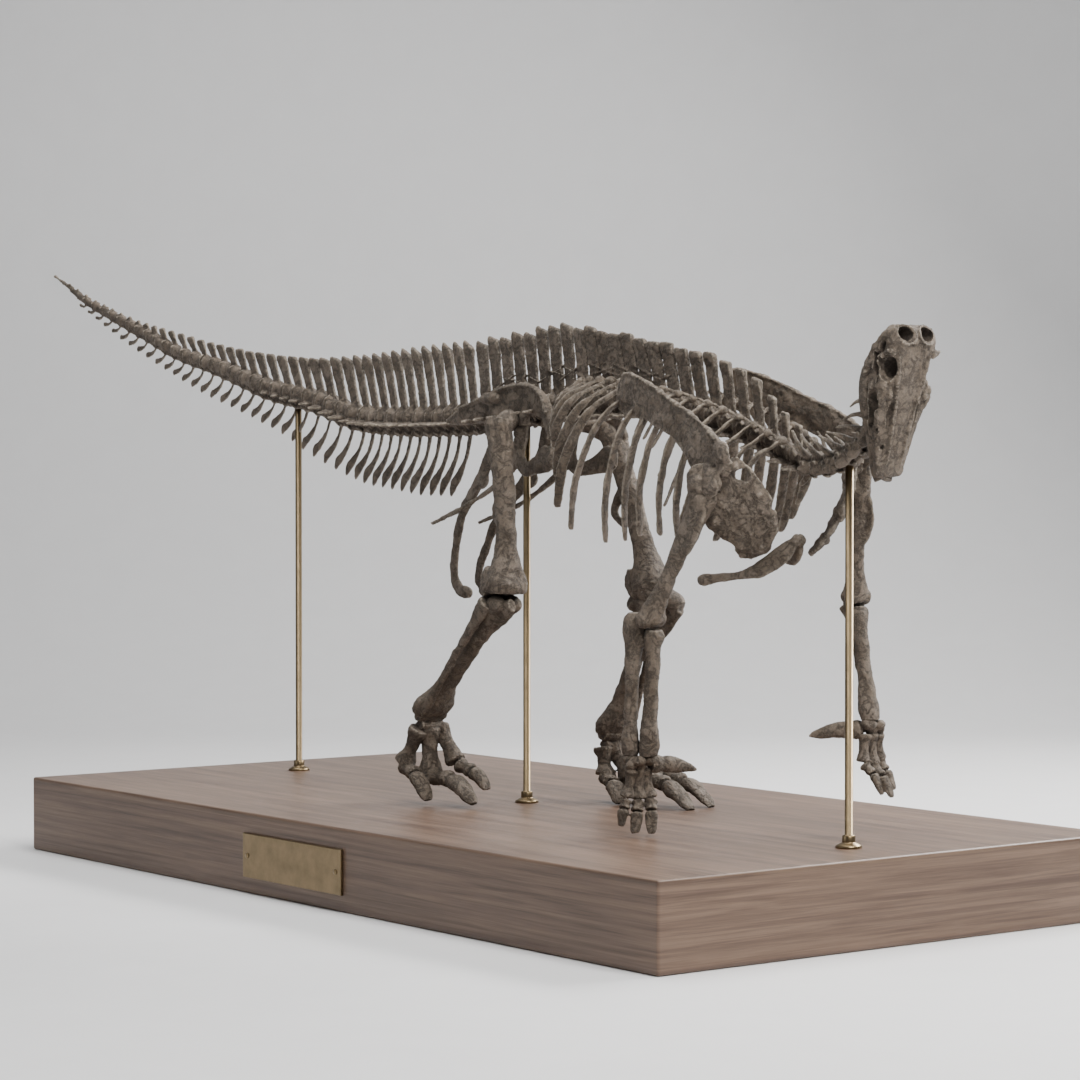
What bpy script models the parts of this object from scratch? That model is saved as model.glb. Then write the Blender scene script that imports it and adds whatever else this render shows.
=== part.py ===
"""Mounted skeleton of a large ornithopod, life size, on its wooden base.

Metres, +Z up. The origin is the centre of the base's underside, +X runs from the
tail to the head and +Y is the animal's left. The backbone lies over the base's
centre line. Right is -Y, left is +Y.
"""

from math import cos, pi, radians, sin, tan

import bmesh
import bpy
from mathutils import Matrix, Vector

# Clearance between touching pieces
GAP = 0.0003
# Faces turned by less than this count as one plane
FLAT_ANGLE = radians(0.6)
# How much further than the clearance a sharp edge may be swelled
SHARPEST = 8

# Base, plaque and rods
BASE_LENGTH = 6.22
BASE_WIDTH = 3.17
BASE_HEIGHT = 0.455
BASE_EDGE = 0.022
PLAQUE_LENGTH = 1.0
PLAQUE_HEIGHT = 0.25
PLAQUE_THICKNESS = 0.018
PLAQUE_X = -0.065
PLAQUE_Z = 0.217
SCREW_RADIUS = 0.016
SCREW_INSET = 0.05
ROD_RADIUS = 0.021
ROD_SIDES = 10
FLANGE_RADIUS = 0.068
FLANGE_HEIGHT = 0.030
COLLAR_RADIUS = 0.031
COLLAR_TOP = 0.062
ROD_SOCKET = 0.030
ROD_TAIL_X = -2.48
ROD_HIP_X = -0.03
ROD_NECK_X = 2.71

# Backbone from tail tip to skull: x, z, height and width of the centrum
COLUMN = [
    (-5.76, 3.810, 0.014, 0.012),
    (-5.53, 3.713, 0.026, 0.020),
    (-5.26, 3.600, 0.038, 0.030),
    (-4.96, 3.505, 0.050, 0.040),
    (-4.63, 3.400, 0.062, 0.050),
    (-4.31, 3.300, 0.074, 0.060),
    (-4.00, 3.200, 0.084, 0.070),
    (-3.40, 3.070, 0.102, 0.085),
    (-2.82, 2.925, 0.118, 0.100),
    (-2.28, 2.840, 0.128, 0.110),
    (-1.76, 2.725, 0.138, 0.125),
    (-1.18, 2.694, 0.146, 0.135),
    (-0.49, 2.700, 0.150, 0.145),
    (0.00, 2.735, 0.152, 0.150),
    (0.50, 2.770, 0.146, 0.130),
    (0.95, 2.775, 0.138, 0.120),
    (1.40, 2.730, 0.130, 0.115),
    (1.80, 2.645, 0.120, 0.110),
    (2.10, 2.550, 0.110, 0.105),
    (2.38, 2.445, 0.100, 0.100),
    (2.62, 2.450, 0.090, 0.095),
    (2.82, 2.560, 0.084, 0.090),
    (2.94, 2.740, 0.080, 0.085),
    (3.009, 2.934, 0.070, 0.076),
]
COLUMN_STEPS = 12
WAIST = 0.80
LONG_CHEVRON = 0.34

# Tips of the neural spines, then of the chevrons under the tail: x, z
SPINE_TIPS = [
    (-5.76, 3.83), (-5.20, 3.61), (-4.60, 3.44), (-4.00, 3.33), (-3.64, 3.26),
    (-3.11, 3.18), (-2.63, 3.13), (-2.20, 3.10), (-1.70, 3.10), (-1.00, 3.13),
    (-0.45, 3.15), (0.00, 3.185), (0.25, 3.218), (0.56, 3.194), (0.93, 3.14),
    (1.31, 3.07), (1.61, 3.015), (1.82, 2.954), (1.93, 2.903), (2.05, 2.83),
    (2.14, 2.75), (2.24, 2.67), (2.38, 2.59), (2.60, 2.55), (2.78, 2.64), (2.90, 2.83),
    (2.98, 3.00),
]
CHEVRON_TIPS = [
    (-5.60, 3.68), (-5.37, 3.56), (-4.74, 3.29), (-4.19, 3.09), (-3.66, 2.91), (-3.25, 2.80),
    (-2.69, 2.65), (-2.24, 2.48), (-1.91, 2.38), (-1.64, 2.315), (-1.38, 2.29),
    (-1.06, 2.256), (-0.73, 2.25), (-0.40, 2.32),
]

# Lengths of the backbone: first x, last x, vertebrae
TAIL_END = (-5.76, -3.64, 17)
TAIL_MIDDLE = (-3.64, -1.70, 15)
TAIL_BASE = (-1.70, -0.47, 12)
SACRUM = (-0.47, 0.467, 8)
BACK = (0.467, 2.100, 14)
SHOULDER = (2.100, 2.400, 3)
NECK = (2.400, 3.009, 10)

# Ribs from the hindmost to the foremost: x and z of the lower end, widest y
RIBS = [
    (0.61, 2.70, 0.24),
    (0.62, 2.60, 0.31),
    (0.65, 2.56, 0.35),
    (0.69, 2.51, 0.38),
    (0.73, 2.35, 0.40),
    (0.76, 2.18, 0.42),
    (0.89, 2.06, 0.43),
    (1.20, 1.99, 0.43),
    (1.36, 2.00, 0.42),
    (1.47, 2.03, 0.41),
    (1.62, 2.04, 0.39),
    (1.74, 2.02, 0.37),
    (1.84, 2.05, 0.34),
    (1.95, 2.12, 0.31),
    (2.04, 2.20, 0.27),
    (2.12, 2.30, 0.22),
]
RIB_WIDTH = 0.048
RIB_THICKNESS = 0.022

# Skull: snout tip in the mid-plane, lean of its long axis, and the jaw's parting
SNOUT_TIP = Vector((3.0, 0.0, 2.33))
SKULL_LEAN = radians(8)
JAW_PLANE = ((0.0, -0.035), (0.60, -0.075))
# Along the skull from the snout: roof height, palate height, half width of roof, of cheek
SKULL_SECTIONS = [
    (-0.005, -0.010, -0.036, 0.026, 0.036),
    (0.030, 0.012, -0.050, 0.040, 0.074),
    (0.110, 0.028, -0.055, 0.034, 0.078),
    (0.250, 0.048, -0.055, 0.046, 0.100),
    (0.390, 0.068, -0.050, 0.066, 0.146),
    (0.460, 0.078, -0.042, 0.074, 0.154),
    (0.560, 0.092, -0.038, 0.084, 0.148),
    (0.640, 0.103, -0.034, 0.100, 0.148),
    (0.710, 0.107, -0.030, 0.122, 0.152),
    (0.768, 0.092, -0.018, 0.116, 0.138),
]

# Right girdle, from the blade's free end to the shoulder: x, y, z, width
SCAPULA = [
    (1.215, -0.305, 2.820, 0.190),
    (1.330, -0.330, 2.795, 0.225),
    (1.480, -0.360, 2.765, 0.205),
    (1.725, -0.400, 2.682, 0.175),
    (1.950, -0.435, 2.585, 0.190),
    (2.100, -0.445, 2.455, 0.270),
    (2.165, -0.435, 2.345, 0.330),
]
CORACOID = [
    (2.135, -0.428, 2.400, 0.290),
    (2.155, -0.355, 2.270, 0.380),
    (2.180, -0.258, 2.130, 0.380),
    (2.150, -0.185, 2.000, 0.245),
    (2.085, -0.148, 1.925, 0.080),
]
STERNAL = [
    (2.320, -0.010, 2.020, 0.060),
    (2.250, -0.055, 1.940, 0.110),
    (2.160, -0.110, 1.870, 0.100),
    (2.050, -0.165, 1.835, 0.050),
    (1.960, -0.210, 1.820, 0.048),
    (1.860, -0.255, 1.805, 0.075),
]
STERNAL_LEFT = [
    (2.320, 0.010, 2.020, 0.060),
    (2.250, 0.050, 1.960, 0.100),
    (2.160, 0.095, 1.925, 0.095),
    (2.070, 0.135, 1.915, 0.050),
    (1.990, 0.165, 1.915, 0.045),
    (1.900, 0.195, 1.920, 0.065),
]
GIRDLE_THICKNESS = 0.030
LEFT_GIRDLE_SHIFT = Vector((0.22, -0.045, 0.025))

# Right half of the pelvis: x, y, z, depth of the bone in the side view
ILIUM = [
    (-0.560, -0.185, 2.672, 0.030),
    (-0.420, -0.187, 2.700, 0.100),
    (-0.200, -0.187, 2.735, 0.150),
    (0.050, -0.187, 2.780, 0.190),
    (0.250, -0.187, 2.785, 0.185),
    (0.400, -0.205, 2.745, 0.140),
    (0.500, -0.245, 2.665, 0.090),
    (0.552, -0.275, 2.560, 0.030),
]
PELVIS_THICKNESS = 0.034
PELVIS_INNER_Y = 0.170
PELVIS_SEAM_Z = 2.640
ISCHIUM = [
    (-0.070, -0.187, 2.680, 0.100),
    (-0.090, -0.187, 2.580, 0.110),
    (-0.130, -0.185, 2.470, 0.100),
    (-0.300, -0.165, 2.290, 0.085),
    (-0.480, -0.140, 2.120, 0.070),
    (-0.585, -0.110, 1.920, 0.062),
    (-0.630, -0.090, 1.760, 0.066),
    (-0.560, -0.085, 1.670, 0.070),
    (-0.470, -0.085, 1.655, 0.046),
]
PREPUBIS = [
    (0.190, -0.187, 2.680, 0.100),
    (0.170, -0.187, 2.580, 0.110),
    (0.140, -0.187, 2.470, 0.110),
    (0.210, -0.190, 2.395, 0.085),
    (0.340, -0.210, 2.415, 0.110),
    (0.450, -0.220, 2.450, 0.160),
    (0.520, -0.225, 2.460, 0.110),
]
PUBIC_ROD = [
    (0.130, -0.185, 2.430, 0.070),
    (-0.080, -0.180, 2.300, 0.040),
    (-0.380, -0.190, 2.175, 0.030),
    (-0.740, -0.170, 2.070, 0.024),
]

# Joints of the limbs
HIP_R = Vector((0.220, -0.395, 2.685))
KNEE_R = Vector((0.325, -0.410, 1.660))
ANKLE_R = Vector((-0.375, -0.450, 0.985))
HIP_L = Vector((0.220, 0.395, 2.685))
KNEE_L = Vector((0.600, 0.440, 1.660))
ANKLE_L = Vector((0.160, 0.490, 0.860))
SHOULDER_R = Vector((2.100, -0.432, 2.285))
ELBOW_R = Vector((1.690, -0.500, 1.560))
WRIST_R = Vector((1.620, -0.490, 0.875))
SHOULDER_L = Vector((2.345, 0.395, 2.330))
ELBOW_L = Vector((2.200, 0.520, 1.670))
WRIST_L = Vector((2.310, 0.520, 1.060))

# How far the crest of the shin stands forward of the knee
CREST_REACH = {"right": 0.070, "left": 0.125}

# Toes: knuckle above the ground, then the tip of the hoof, inner to outer
TOES_R = [
    ((-0.230, -0.350, 0.680), (-0.030, -0.280, 0.545)),
    ((-0.360, -0.450, 0.605), (0.055, -0.445, 0.482)),
    ((-0.500, -0.545, 0.665), (-0.235, -0.560, 0.486)),
]
TOES_L = [
    ((0.200, 0.400, 0.600), (0.410, 0.345, 0.462)),
    ((0.330, 0.500, 0.575), (0.880, 0.480, 0.458)),
    ((0.300, 0.610, 0.590), (0.850, 0.665, 0.462)),
]
FINGERS_R = [
    ((1.650, -0.440, 0.640), (1.735, -0.500, 0.474)),
    ((1.630, -0.505, 0.635), (1.680, -0.570, 0.472)),
    ((1.600, -0.565, 0.645), (1.610, -0.610, 0.505)),
]
FINGERS_L = [
    ((2.330, 0.455, 0.830), (2.430, 0.500, 0.672)),
    ((2.330, 0.525, 0.815), (2.455, 0.545, 0.655)),
    ((2.310, 0.590, 0.835), (2.400, 0.610, 0.690)),
]
THUMB_R = ((1.650, -0.440, 0.830), (1.700, -0.165, 0.785))
THUMB_L = ((2.300, 0.470, 1.010), (2.185, 0.200, 0.980))
PALM_INNER = 0.068
TOE_WIDTH = (0.122, 0.138, 0.122)
FINGER_WIDTH = 0.074

# Shafts of the long bones: place along the bone, width across, depth fore and aft
FEMUR = [
    (0.00, 0.120, 0.110), (0.05, 0.160, 0.150), (0.14, 0.140, 0.140), (0.30, 0.125, 0.130),
    (0.48, 0.120, 0.150), (0.58, 0.120, 0.145), (0.74, 0.130, 0.120), (0.88, 0.190, 0.170),
    (0.95, 0.235, 0.230), (1.00, 0.200, 0.200),
]
TIBIA = [
    (0.00, 0.190, 0.200), (0.05, 0.210, 0.215), (0.16, 0.140, 0.160), (0.35, 0.100, 0.105),
    (0.62, 0.106, 0.098), (0.80, 0.160, 0.112), (0.93, 0.258, 0.138), (1.00, 0.245, 0.130),
]
FIBULA = [
    (0.00, 0.050, 0.085), (0.10, 0.055, 0.100), (0.30, 0.046, 0.060), (0.75, 0.040, 0.048),
    (0.94, 0.060, 0.064), (1.00, 0.052, 0.056),
]
HUMERUS = [
    (0.00, 0.120, 0.120), (0.06, 0.150, 0.165), (0.16, 0.110, 0.170), (0.36, 0.100, 0.165),
    (0.50, 0.090, 0.110), (0.68, 0.085, 0.088), (0.86, 0.130, 0.110), (0.95, 0.160, 0.130),
    (1.00, 0.140, 0.110),
]
ULNA = [
    (0.00, 0.060, 0.070), (0.05, 0.080, 0.095), (0.16, 0.085, 0.115), (0.32, 0.068, 0.080),
    (0.70, 0.060, 0.062), (0.92, 0.078, 0.078), (1.00, 0.070, 0.070),
]
RADIUS = [
    (0.00, 0.080, 0.080), (0.08, 0.095, 0.092), (0.22, 0.072, 0.070), (0.60, 0.070, 0.066),
    (0.88, 0.100, 0.085), (1.00, 0.094, 0.080),
]

SIDE_Y = Vector((0, 1, 0))
BONE = (0.215, 0.185, 0.155, 1)
WOOD = (0.115, 0.062, 0.038, 1)
BRASS = (0.42, 0.29, 0.13, 1)


def clear_scene():
    for thing in list(bpy.data.objects):
        bpy.data.objects.remove(thing, do_unlink=True)


def material(name, colour, roughness, metallic):
    made = bpy.data.materials.new(name)
    made.use_nodes = True
    shader = made.node_tree.nodes["Principled BSDF"]
    shader.inputs["Base Color"].default_value = colour
    shader.inputs["Roughness"].default_value = roughness
    shader.inputs["Metallic"].default_value = metallic
    return made


def mirrored(rows):
    """The same rows on the other side of the mid-plane."""
    return [(row[0], -row[1]) + tuple(row[2:]) for row in rows]


def smooth_rows(rows, steps):
    """Rows of numbers joined by a Catmull-Rom curve, with a number of steps per span."""
    rows = [tuple(row) for row in rows]
    first = tuple(2 * a - b for a, b in zip(rows[0], rows[1]))
    last = tuple(2 * a - b for a, b in zip(rows[-1], rows[-2]))
    padded = [first] + rows + [last]
    result = []
    for span in range(len(rows) - 1):
        before, start, end, after = padded[span:span + 4]
        for step in range(steps):
            t = step / steps
            result.append(tuple(
                0.5 * (2 * b + (c - a) * t + (2 * a - 5 * b + 4 * c - d) * t * t
                       + (3 * b - a - 3 * c + d) * t * t * t)
                for a, b, c, d in zip(before, start, end, after)))
    result.append(rows[-1])
    return result


def at_x(rows, x):
    """Read a table sorted by its first column at x, in straight lines."""
    for low, high in zip(rows, rows[1:]):
        if x <= high[0]:
            share = (x - low[0]) / (high[0] - low[0])
            return [a + (b - a) * share for a, b in zip(low[1:], high[1:])]
    return list(rows[-1][1:])


def mesh_object(name, points, faces):
    mesh = bpy.data.meshes.new(name)
    mesh.from_pydata([tuple(point) for point in points], [], faces)
    work = bmesh.new()
    work.from_mesh(mesh)
    bmesh.ops.recalc_face_normals(work, faces=work.faces[:])
    work.to_mesh(mesh)
    work.free()
    made = bpy.data.objects.new(name, mesh)
    bpy.context.scene.collection.objects.link(made)
    return made


def skin_rings(name, rings):
    """One closed body over rings that have the same number of points."""
    sides = len(rings[0])
    points = [point for ring in rings for point in ring]
    faces = [tuple(range(sides))]
    for row in range(len(rings) - 1):
        for side in range(sides):
            after = (side + 1) % sides
            low = row * sides
            faces.append((low + side, low + after, low + sides + after, low + sides + side))
    top = (len(rings) - 1) * sides
    faces.append(tuple(range(top, top + sides)))
    return mesh_object(name, points, faces)


def section(centre, side, other, width, depth, sides):
    if sides == 4:
        corners = ((1, 1), (-1, 1), (-1, -1), (1, -1))
        return [centre + side * (a * width / 2) + other * (b * depth / 2) for a, b in corners]
    turn = 0.0 if sides == 6 else 0.5
    angles = [2 * pi * (index + turn) / sides for index in range(sides)]
    return [centre + side * (cos(a) * width / 2) + other * (sin(a) * depth / 2) for a in angles]


def tube(name, rows, side=SIDE_Y, sides=8):
    """A closed tube along rows of x, y, z, width along the side vector, depth across it."""
    centres = [Vector(row[:3]) for row in rows]
    rings = []
    for index, row in enumerate(rows):
        ahead = centres[min(index + 1, len(rows) - 1)]
        behind = centres[max(index - 1, 0)]
        along = (ahead - behind).normalized()
        across = (side - along * side.dot(along)).normalized()
        rings.append(section(centres[index], across, along.cross(across), row[3], row[4], sides))
    return skin_rings(name, rings)


def shaft(name, start, end, profile, side=SIDE_Y, sides=8, bow=Vector((0, 0, 0))):
    """A straight or bowed bone from start to end, with its profile of widths and depths."""
    rows = []
    for place, width, depth in profile:
        centre = start.lerp(end, place) + bow * (4 * place * (1 - place))
        rows.append((*centre, width, depth))
    return tube(name, rows, side, sides)


def flat_bone(name, rows, thickness, sides=6):
    """A flat bone along rows of x, y, z, width, thin across its own plane."""
    placed = [(*row[:3], thickness, row[3]) for row in rows]
    return tube(name, placed, SIDE_Y, sides)


def knob(name, centre, size, turns=1):
    """A faceted rounded lump."""
    made = bpy.data.meshes.new(name)
    work = bmesh.new()
    bmesh.ops.create_icosphere(work, subdivisions=turns, radius=0.5)
    bmesh.ops.scale(work, vec=size, verts=work.verts[:])
    bmesh.ops.translate(work, vec=centre, verts=work.verts[:])
    work.to_mesh(made)
    work.free()
    lump = bpy.data.objects.new(name, made)
    bpy.context.scene.collection.objects.link(lump)
    return lump


def box(name, low, high):
    points = [(x, y, z) for x in (low[0], high[0]) for y in (low[1], high[1])
              for z in (low[2], high[2])]
    faces = [(0, 1, 3, 2), (4, 6, 7, 5), (0, 4, 5, 1), (2, 3, 7, 6), (0, 2, 6, 4), (1, 5, 7, 3)]
    return mesh_object(name, points, faces)


def join_flat_faces(target):
    """Join the faces that a Boolean leaves split within one plane."""
    work = bmesh.new()
    work.from_mesh(target.data)
    bmesh.ops.dissolve_limit(work, angle_limit=FLAT_ANGLE, verts=work.verts[:],
                             edges=work.edges[:])
    bmesh.ops.triangulate(work, faces=work.faces[:])
    work.to_mesh(target.data)
    work.free()


def discard(things):
    for thing in things:
        bpy.data.objects.remove(thing, do_unlink=True)


def keep_largest(target):
    """Keep the biggest closed surface of a mesh."""
    work = bmesh.new()
    work.from_mesh(target.data)
    unseen = set(work.verts)
    islands = []
    while unseen:
        start = unseen.pop()
        island = {start}
        queue = [start]
        while queue:
            for edge in queue.pop().link_edges:
                for vert in edge.verts:
                    if vert in unseen:
                        unseen.remove(vert)
                        island.add(vert)
                        queue.append(vert)
        islands.append(island)
    islands.sort(key=len, reverse=True)
    loose = [vert for island in islands[1:] for vert in island]
    bmesh.ops.delete(work, geom=loose, context="VERTS")
    work.to_mesh(target.data)
    work.free()


def combine(target, others, operation, solver="EXACT"):
    """One Boolean of a target with a collection of closed bodies, applied."""
    group = bpy.data.collections.new("operands")
    bpy.context.scene.collection.children.link(group)
    for other in others:
        group.objects.link(other)
    boolean = target.modifiers.new("Boolean", "BOOLEAN")
    boolean.operation = operation
    boolean.operand_type = "COLLECTION"
    boolean.collection = group
    boolean.solver = solver
    graph = bpy.context.evaluated_depsgraph_get()
    result = bpy.data.meshes.new_from_object(target.evaluated_get(graph))
    target.modifiers.clear()
    target.data = result
    discard(others)
    bpy.data.collections.remove(group)
    keep_largest(target)
    if operation == "UNION":
        join_flat_faces(target)
    return target


def fuse(name, pieces, solver="EXACT"):
    """Join closed bodies that overlap into one body with the node's name."""
    base = pieces[0]
    base.name = name
    if len(pieces) > 1:
        combine(base, pieces[1:], "UNION", solver)
    return base


def carve(target, cutters, solver="EXACT"):
    return combine(target, cutters, "DIFFERENCE", solver)


def slice_off(target, point, normal):
    """Cut a body with a plane and keep the side that the normal points away from."""
    work = bmesh.new()
    work.from_mesh(target.data)
    geometry = work.verts[:] + work.edges[:] + work.faces[:]
    cut = bmesh.ops.bisect_plane(work, geom=geometry, plane_co=point, plane_no=normal,
                                 dist=1e-7, clear_outer=True)
    rim = [item for item in cut["geom_cut"] if isinstance(item, bmesh.types.BMEdge)]
    bmesh.ops.holes_fill(work, edges=rim, sides=0)
    bmesh.ops.recalc_face_normals(work, faces=work.faces[:])
    work.to_mesh(target.data)
    work.free()
    keep_largest(target)


def finish(node, finish_material, smooth_angle=40):
    node.data.materials.clear()
    own = finish_material.copy()
    own.name = node.name
    node.data.materials.append(own)
    node.data.shade_smooth()
    node.data.set_sharp_from_angle(angle=radians(smooth_angle))
    return node


class Column:
    """The backbone's curve, read by distance along it."""

    def __init__(self):
        self.rows = smooth_rows(COLUMN, COLUMN_STEPS)
        self.lengths = [0.0]
        for a, b in zip(self.rows, self.rows[1:]):
            step = ((b[0] - a[0]) ** 2 + (b[1] - a[1]) ** 2) ** 0.5
            self.lengths.append(self.lengths[-1] + step)

    def distance(self, x):
        table = [(row[0], length) for row, length in zip(self.rows, self.lengths)]
        return at_x(table, x)[0]

    def read(self, distance):
        """Centre, forward direction, height and width of the centrum."""
        table = [(length, *row) for row, length in zip(self.rows, self.lengths)]
        x, z, height, width = at_x(table, distance)
        ahead = at_x(table, distance + 0.03)
        behind = at_x(table, distance - 0.03)
        along = Vector((ahead[0] - behind[0], 0, ahead[1] - behind[1])).normalized()
        return Vector((x, 0, z)), along, height, width

    def places(self, length):
        """Distances of the middles of the vertebrae in one length of the backbone."""
        start, end = self.distance(length[0]), self.distance(length[1])
        pitch = (end - start) / length[2]
        return [start + (index + 0.5) * pitch for index in range(length[2])], pitch


def centra(name, column, length, sides=6, waisted=True):
    """The bodies of the vertebrae as one body, pinched at each waist where that shows."""
    start, end = column.distance(length[0]) + GAP / 2, column.distance(length[1]) - GAP / 2
    rings = []
    steps = length[2] * (2 if waisted else 1)
    for index in range(steps + 1):
        place = start + (end - start) * index / steps
        centre, along, height, width = column.read(place)
        scale = WAIST if waisted and index % 2 else 1.0
        rings.append(section(centre, SIDE_Y, along.cross(SIDE_Y), width * scale,
                             height * scale, sides))
    return skin_rings(name, rings)


def seam_plane(column, x):
    """Where two lengths of the backbone meet: a point and the forward direction."""
    centre, along, _, _ = column.read(column.distance(x))
    return centre, along


def neural_spine(column, place, lean, root_long, tip_long, thickness):
    """One spine over a vertebra, leaning back, with a broad foot sunk in the centrum."""
    centre, along, height, _ = column.read(place)
    up = along.cross(SIDE_Y) * -1
    foot = centre + up * (height * 0.15)
    tip_x = foot.x
    for _ in range(3):
        tip_z = at_x(SPINE_TIPS, tip_x)[0]
        tip_x = foot.x - (tip_z - foot.z) * tan(lean)
    tip = Vector((tip_x, 0, tip_z))
    rows = [(*foot, thickness * 1.6, root_long * 0.86), (*tip, thickness * 0.85, tip_long)]
    return tube("spine", rows, SIDE_Y, 4)


def chevron(column, place, lean):
    """One haemal bone under the tail, hanging back from between two vertebrae."""
    centre, along, height, width = column.read(place)
    down = along.cross(SIDE_Y)
    head = centre + down * (height * 0.25)
    tip_x = head.x
    for _ in range(3):
        tip_z = at_x(CHEVRON_TIPS, tip_x)[0]
        tip_x = head.x - (head.z - tip_z) * tan(lean)
    tip = Vector((tip_x, 0, tip_z))
    reach = (tip - head).length
    bend = along * (0.06 * reach)
    thick = width * 0.34
    rows = [(*head, thick * 1.5, height * 0.32), (*tip, thick * 0.75, height * 0.32)]
    if reach > LONG_CHEVRON:
        rows.insert(1, (*(head.lerp(tip, 0.55) + bend), thick * 0.8, height * 0.22))
    return tube("chevron", rows, SIDE_Y, 4)


def cross_process(column, place, reach, long, raise_share, sweep):
    """The pair of processes of one vertebra: a flat bar through it, swept back to its tips."""
    centre, along, height, _ = column.read(place)
    up = along.cross(SIDE_Y) * -1
    middle = centre + up * (height * raise_share)
    tips = [middle + SIDE_Y * (hand * reach) - along * (reach * sweep) + up * (reach * 0.12)
            for hand in (-1, 1)]
    rows = [(*tips[0], long * 0.72, long * 0.26), (*middle, long, long * 0.44),
            (*tips[1], long * 0.72, long * 0.26)]
    return tube("process", rows, along, 4)


def tail_length(name, column, length, with_process):
    """One length of tail with its spines, chevrons and, nearer the hip, side processes."""
    places, pitch = column.places(length)
    pieces = [centra(name, column, length, waisted=length is TAIL_BASE)]
    start = column.distance(TAIL_END[0])
    span = column.distance(TAIL_BASE[1]) - start
    for place in places:
        share = (place - start) / span
        lean = radians(48 - 38 * share)
        _, _, height, _ = column.read(place)
        long = height * (0.52 - 0.10 * share)
        if share > 0.05:
            pieces.append(neural_spine(column, place, lean, long * 1.15, long, height * 0.20))
        if 0.08 < share and place + pitch / 2 < start + span - 0.05:
            pieces.append(chevron(column, place + pitch * 0.20, radians(42 - 27 * share)))
        if with_process and share > 0.42:
            reach = min(0.06 + 0.22 * (share - 0.42), 0.155)
            pieces.append(cross_process(column, place, reach, 0.055, 0.18, 0.25))
    return fuse(name, pieces)


def sacrum_node(column):
    places, pitch = column.places(SACRUM)
    pieces = [centra("sacrum", column, SACRUM)]
    for index, place in enumerate(places):
        centre, _, height, width = column.read(place)
        pieces.append(neural_spine(column, place, radians(7), pitch, pitch * 0.90, 0.034))
        if 1 <= index <= 6:
            for hand in (-1, 1):
                root = centre + SIDE_Y * (hand * width * 0.25) + Vector((0, 0, height * 0.2))
                tip = Vector((root.x, hand * (PELVIS_INNER_Y - GAP), root.z))
                rows = [(*root, 0.060, 0.080), (*root.lerp(tip, 0.6), 0.044, 0.060),
                        (*tip, 0.066, 0.080)]
                pieces.append(tube("sacral_rib", rows, Vector((1, 0, 0)), 4))
    return fuse("sacrum", pieces)


def rib(column, place, hand, low_x, low_z, widest):
    """One rib: from its head on the centrum over the transverse process, out and down."""
    centre, along, height, width = column.read(place)
    root_z = centre.z + height * 0.62
    drop = root_z - low_z
    back = centre.x - low_x
    rows = [
        (centre.x, hand * width * 0.15, root_z - 0.02, 0.060, 0.050),
        (centre.x - 0.12 * back, hand * (0.30 * widest + 0.04), root_z + 0.020, 0.052, 0.036),
        (centre.x - 0.24 * back, hand * 0.68 * widest, root_z - 0.06 * drop, RIB_WIDTH, 0.026),
        (centre.x - 0.50 * back, hand * 0.95 * widest, root_z - 0.30 * drop, RIB_WIDTH,
         RIB_THICKNESS),
        (centre.x - 0.80 * back, hand * 1.00 * widest, root_z - 0.65 * drop, RIB_WIDTH,
         RIB_THICKNESS),
        (low_x, hand * 0.90 * widest, low_z, RIB_WIDTH * 0.7, RIB_THICKNESS),
    ]
    return tube("rib", rows, along, 4)


def back_pieces(column, hand):
    """Vertebrae of the back and shoulder with the ribs of one side."""
    whole = (BACK[0], SHOULDER[1], BACK[2] + SHOULDER[2])
    pieces = [centra("back", column, whole, waisted=False)]
    places, pitch = column.places(BACK)
    for index, place in enumerate(places):
        lean = radians(7 + 8 * sin(pi * index / (len(places) - 1)))
        pieces.append(neural_spine(column, place, lean, pitch, pitch * 0.92, 0.032))
    for place in column.places(SHOULDER)[0]:
        pieces.append(neural_spine(column, place, radians(4), 0.062, 0.036, 0.024))
    roots = places + column.places(SHOULDER)[0]
    for place, (low_x, low_z, widest) in zip(roots[1:], RIBS):
        pieces.append(rib(column, place, hand, low_x, low_z, widest))
    return pieces


def rib_cage(column, hand, scapula):
    """One side of the rib cage, with its half of the backbone."""
    name = "ribcage_left" if hand > 0 else "ribcage_right"
    cage = fuse(name, back_pieces(column, hand))
    slice_off(cage, (0, hand * GAP / 2, 0), (0, -hand, 0))
    for x, way in ((BACK[0], -1), (SHOULDER[1], 1)):
        seam = seam_plane(column, x)
        slice_off(cage, seam[0] - seam[1] * (way * GAP / 2), seam[1] * way)
    carve(cage, [grown_copy(scapula)])
    return cage


def neck_node(column):
    pieces = [centra("neck", column, NECK, waisted=False)]
    places, _ = column.places(NECK)
    for index, place in enumerate(places):
        centre, along, height, width = column.read(place)
        up = along.cross(SIDE_Y) * -1
        last = len(places) - 1
        if index < last:
            rows = [(*(centre + up * height * 0.2), 0.030, 0.050),
                    (*(centre + up * height * 0.95 - along * 0.016), 0.018, 0.026)]
            pieces.append(tube("cervical_spine", rows, SIDE_Y, 4))
        if index > last - 4:
            continue
        pieces.append(cross_process(column, place, 0.088, 0.052, 0.45, 0.12))
        for hand in (-1, 1):
            root = centre + SIDE_Y * (hand * width * 0.30)
            tip = root + SIDE_Y * (hand * 0.036) - along * 0.090 - up * 0.090
            rows = [(*root, 0.040, 0.044), (*tip, 0.016, 0.018)]
            pieces.append(tube("cervical_rib", rows, SIDE_Y, 4))
    node = fuse("neck", pieces)
    seam = seam_plane(column, NECK[0])
    slice_off(node, seam[0] + seam[1] * (GAP / 2), -seam[1])
    return node


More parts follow.
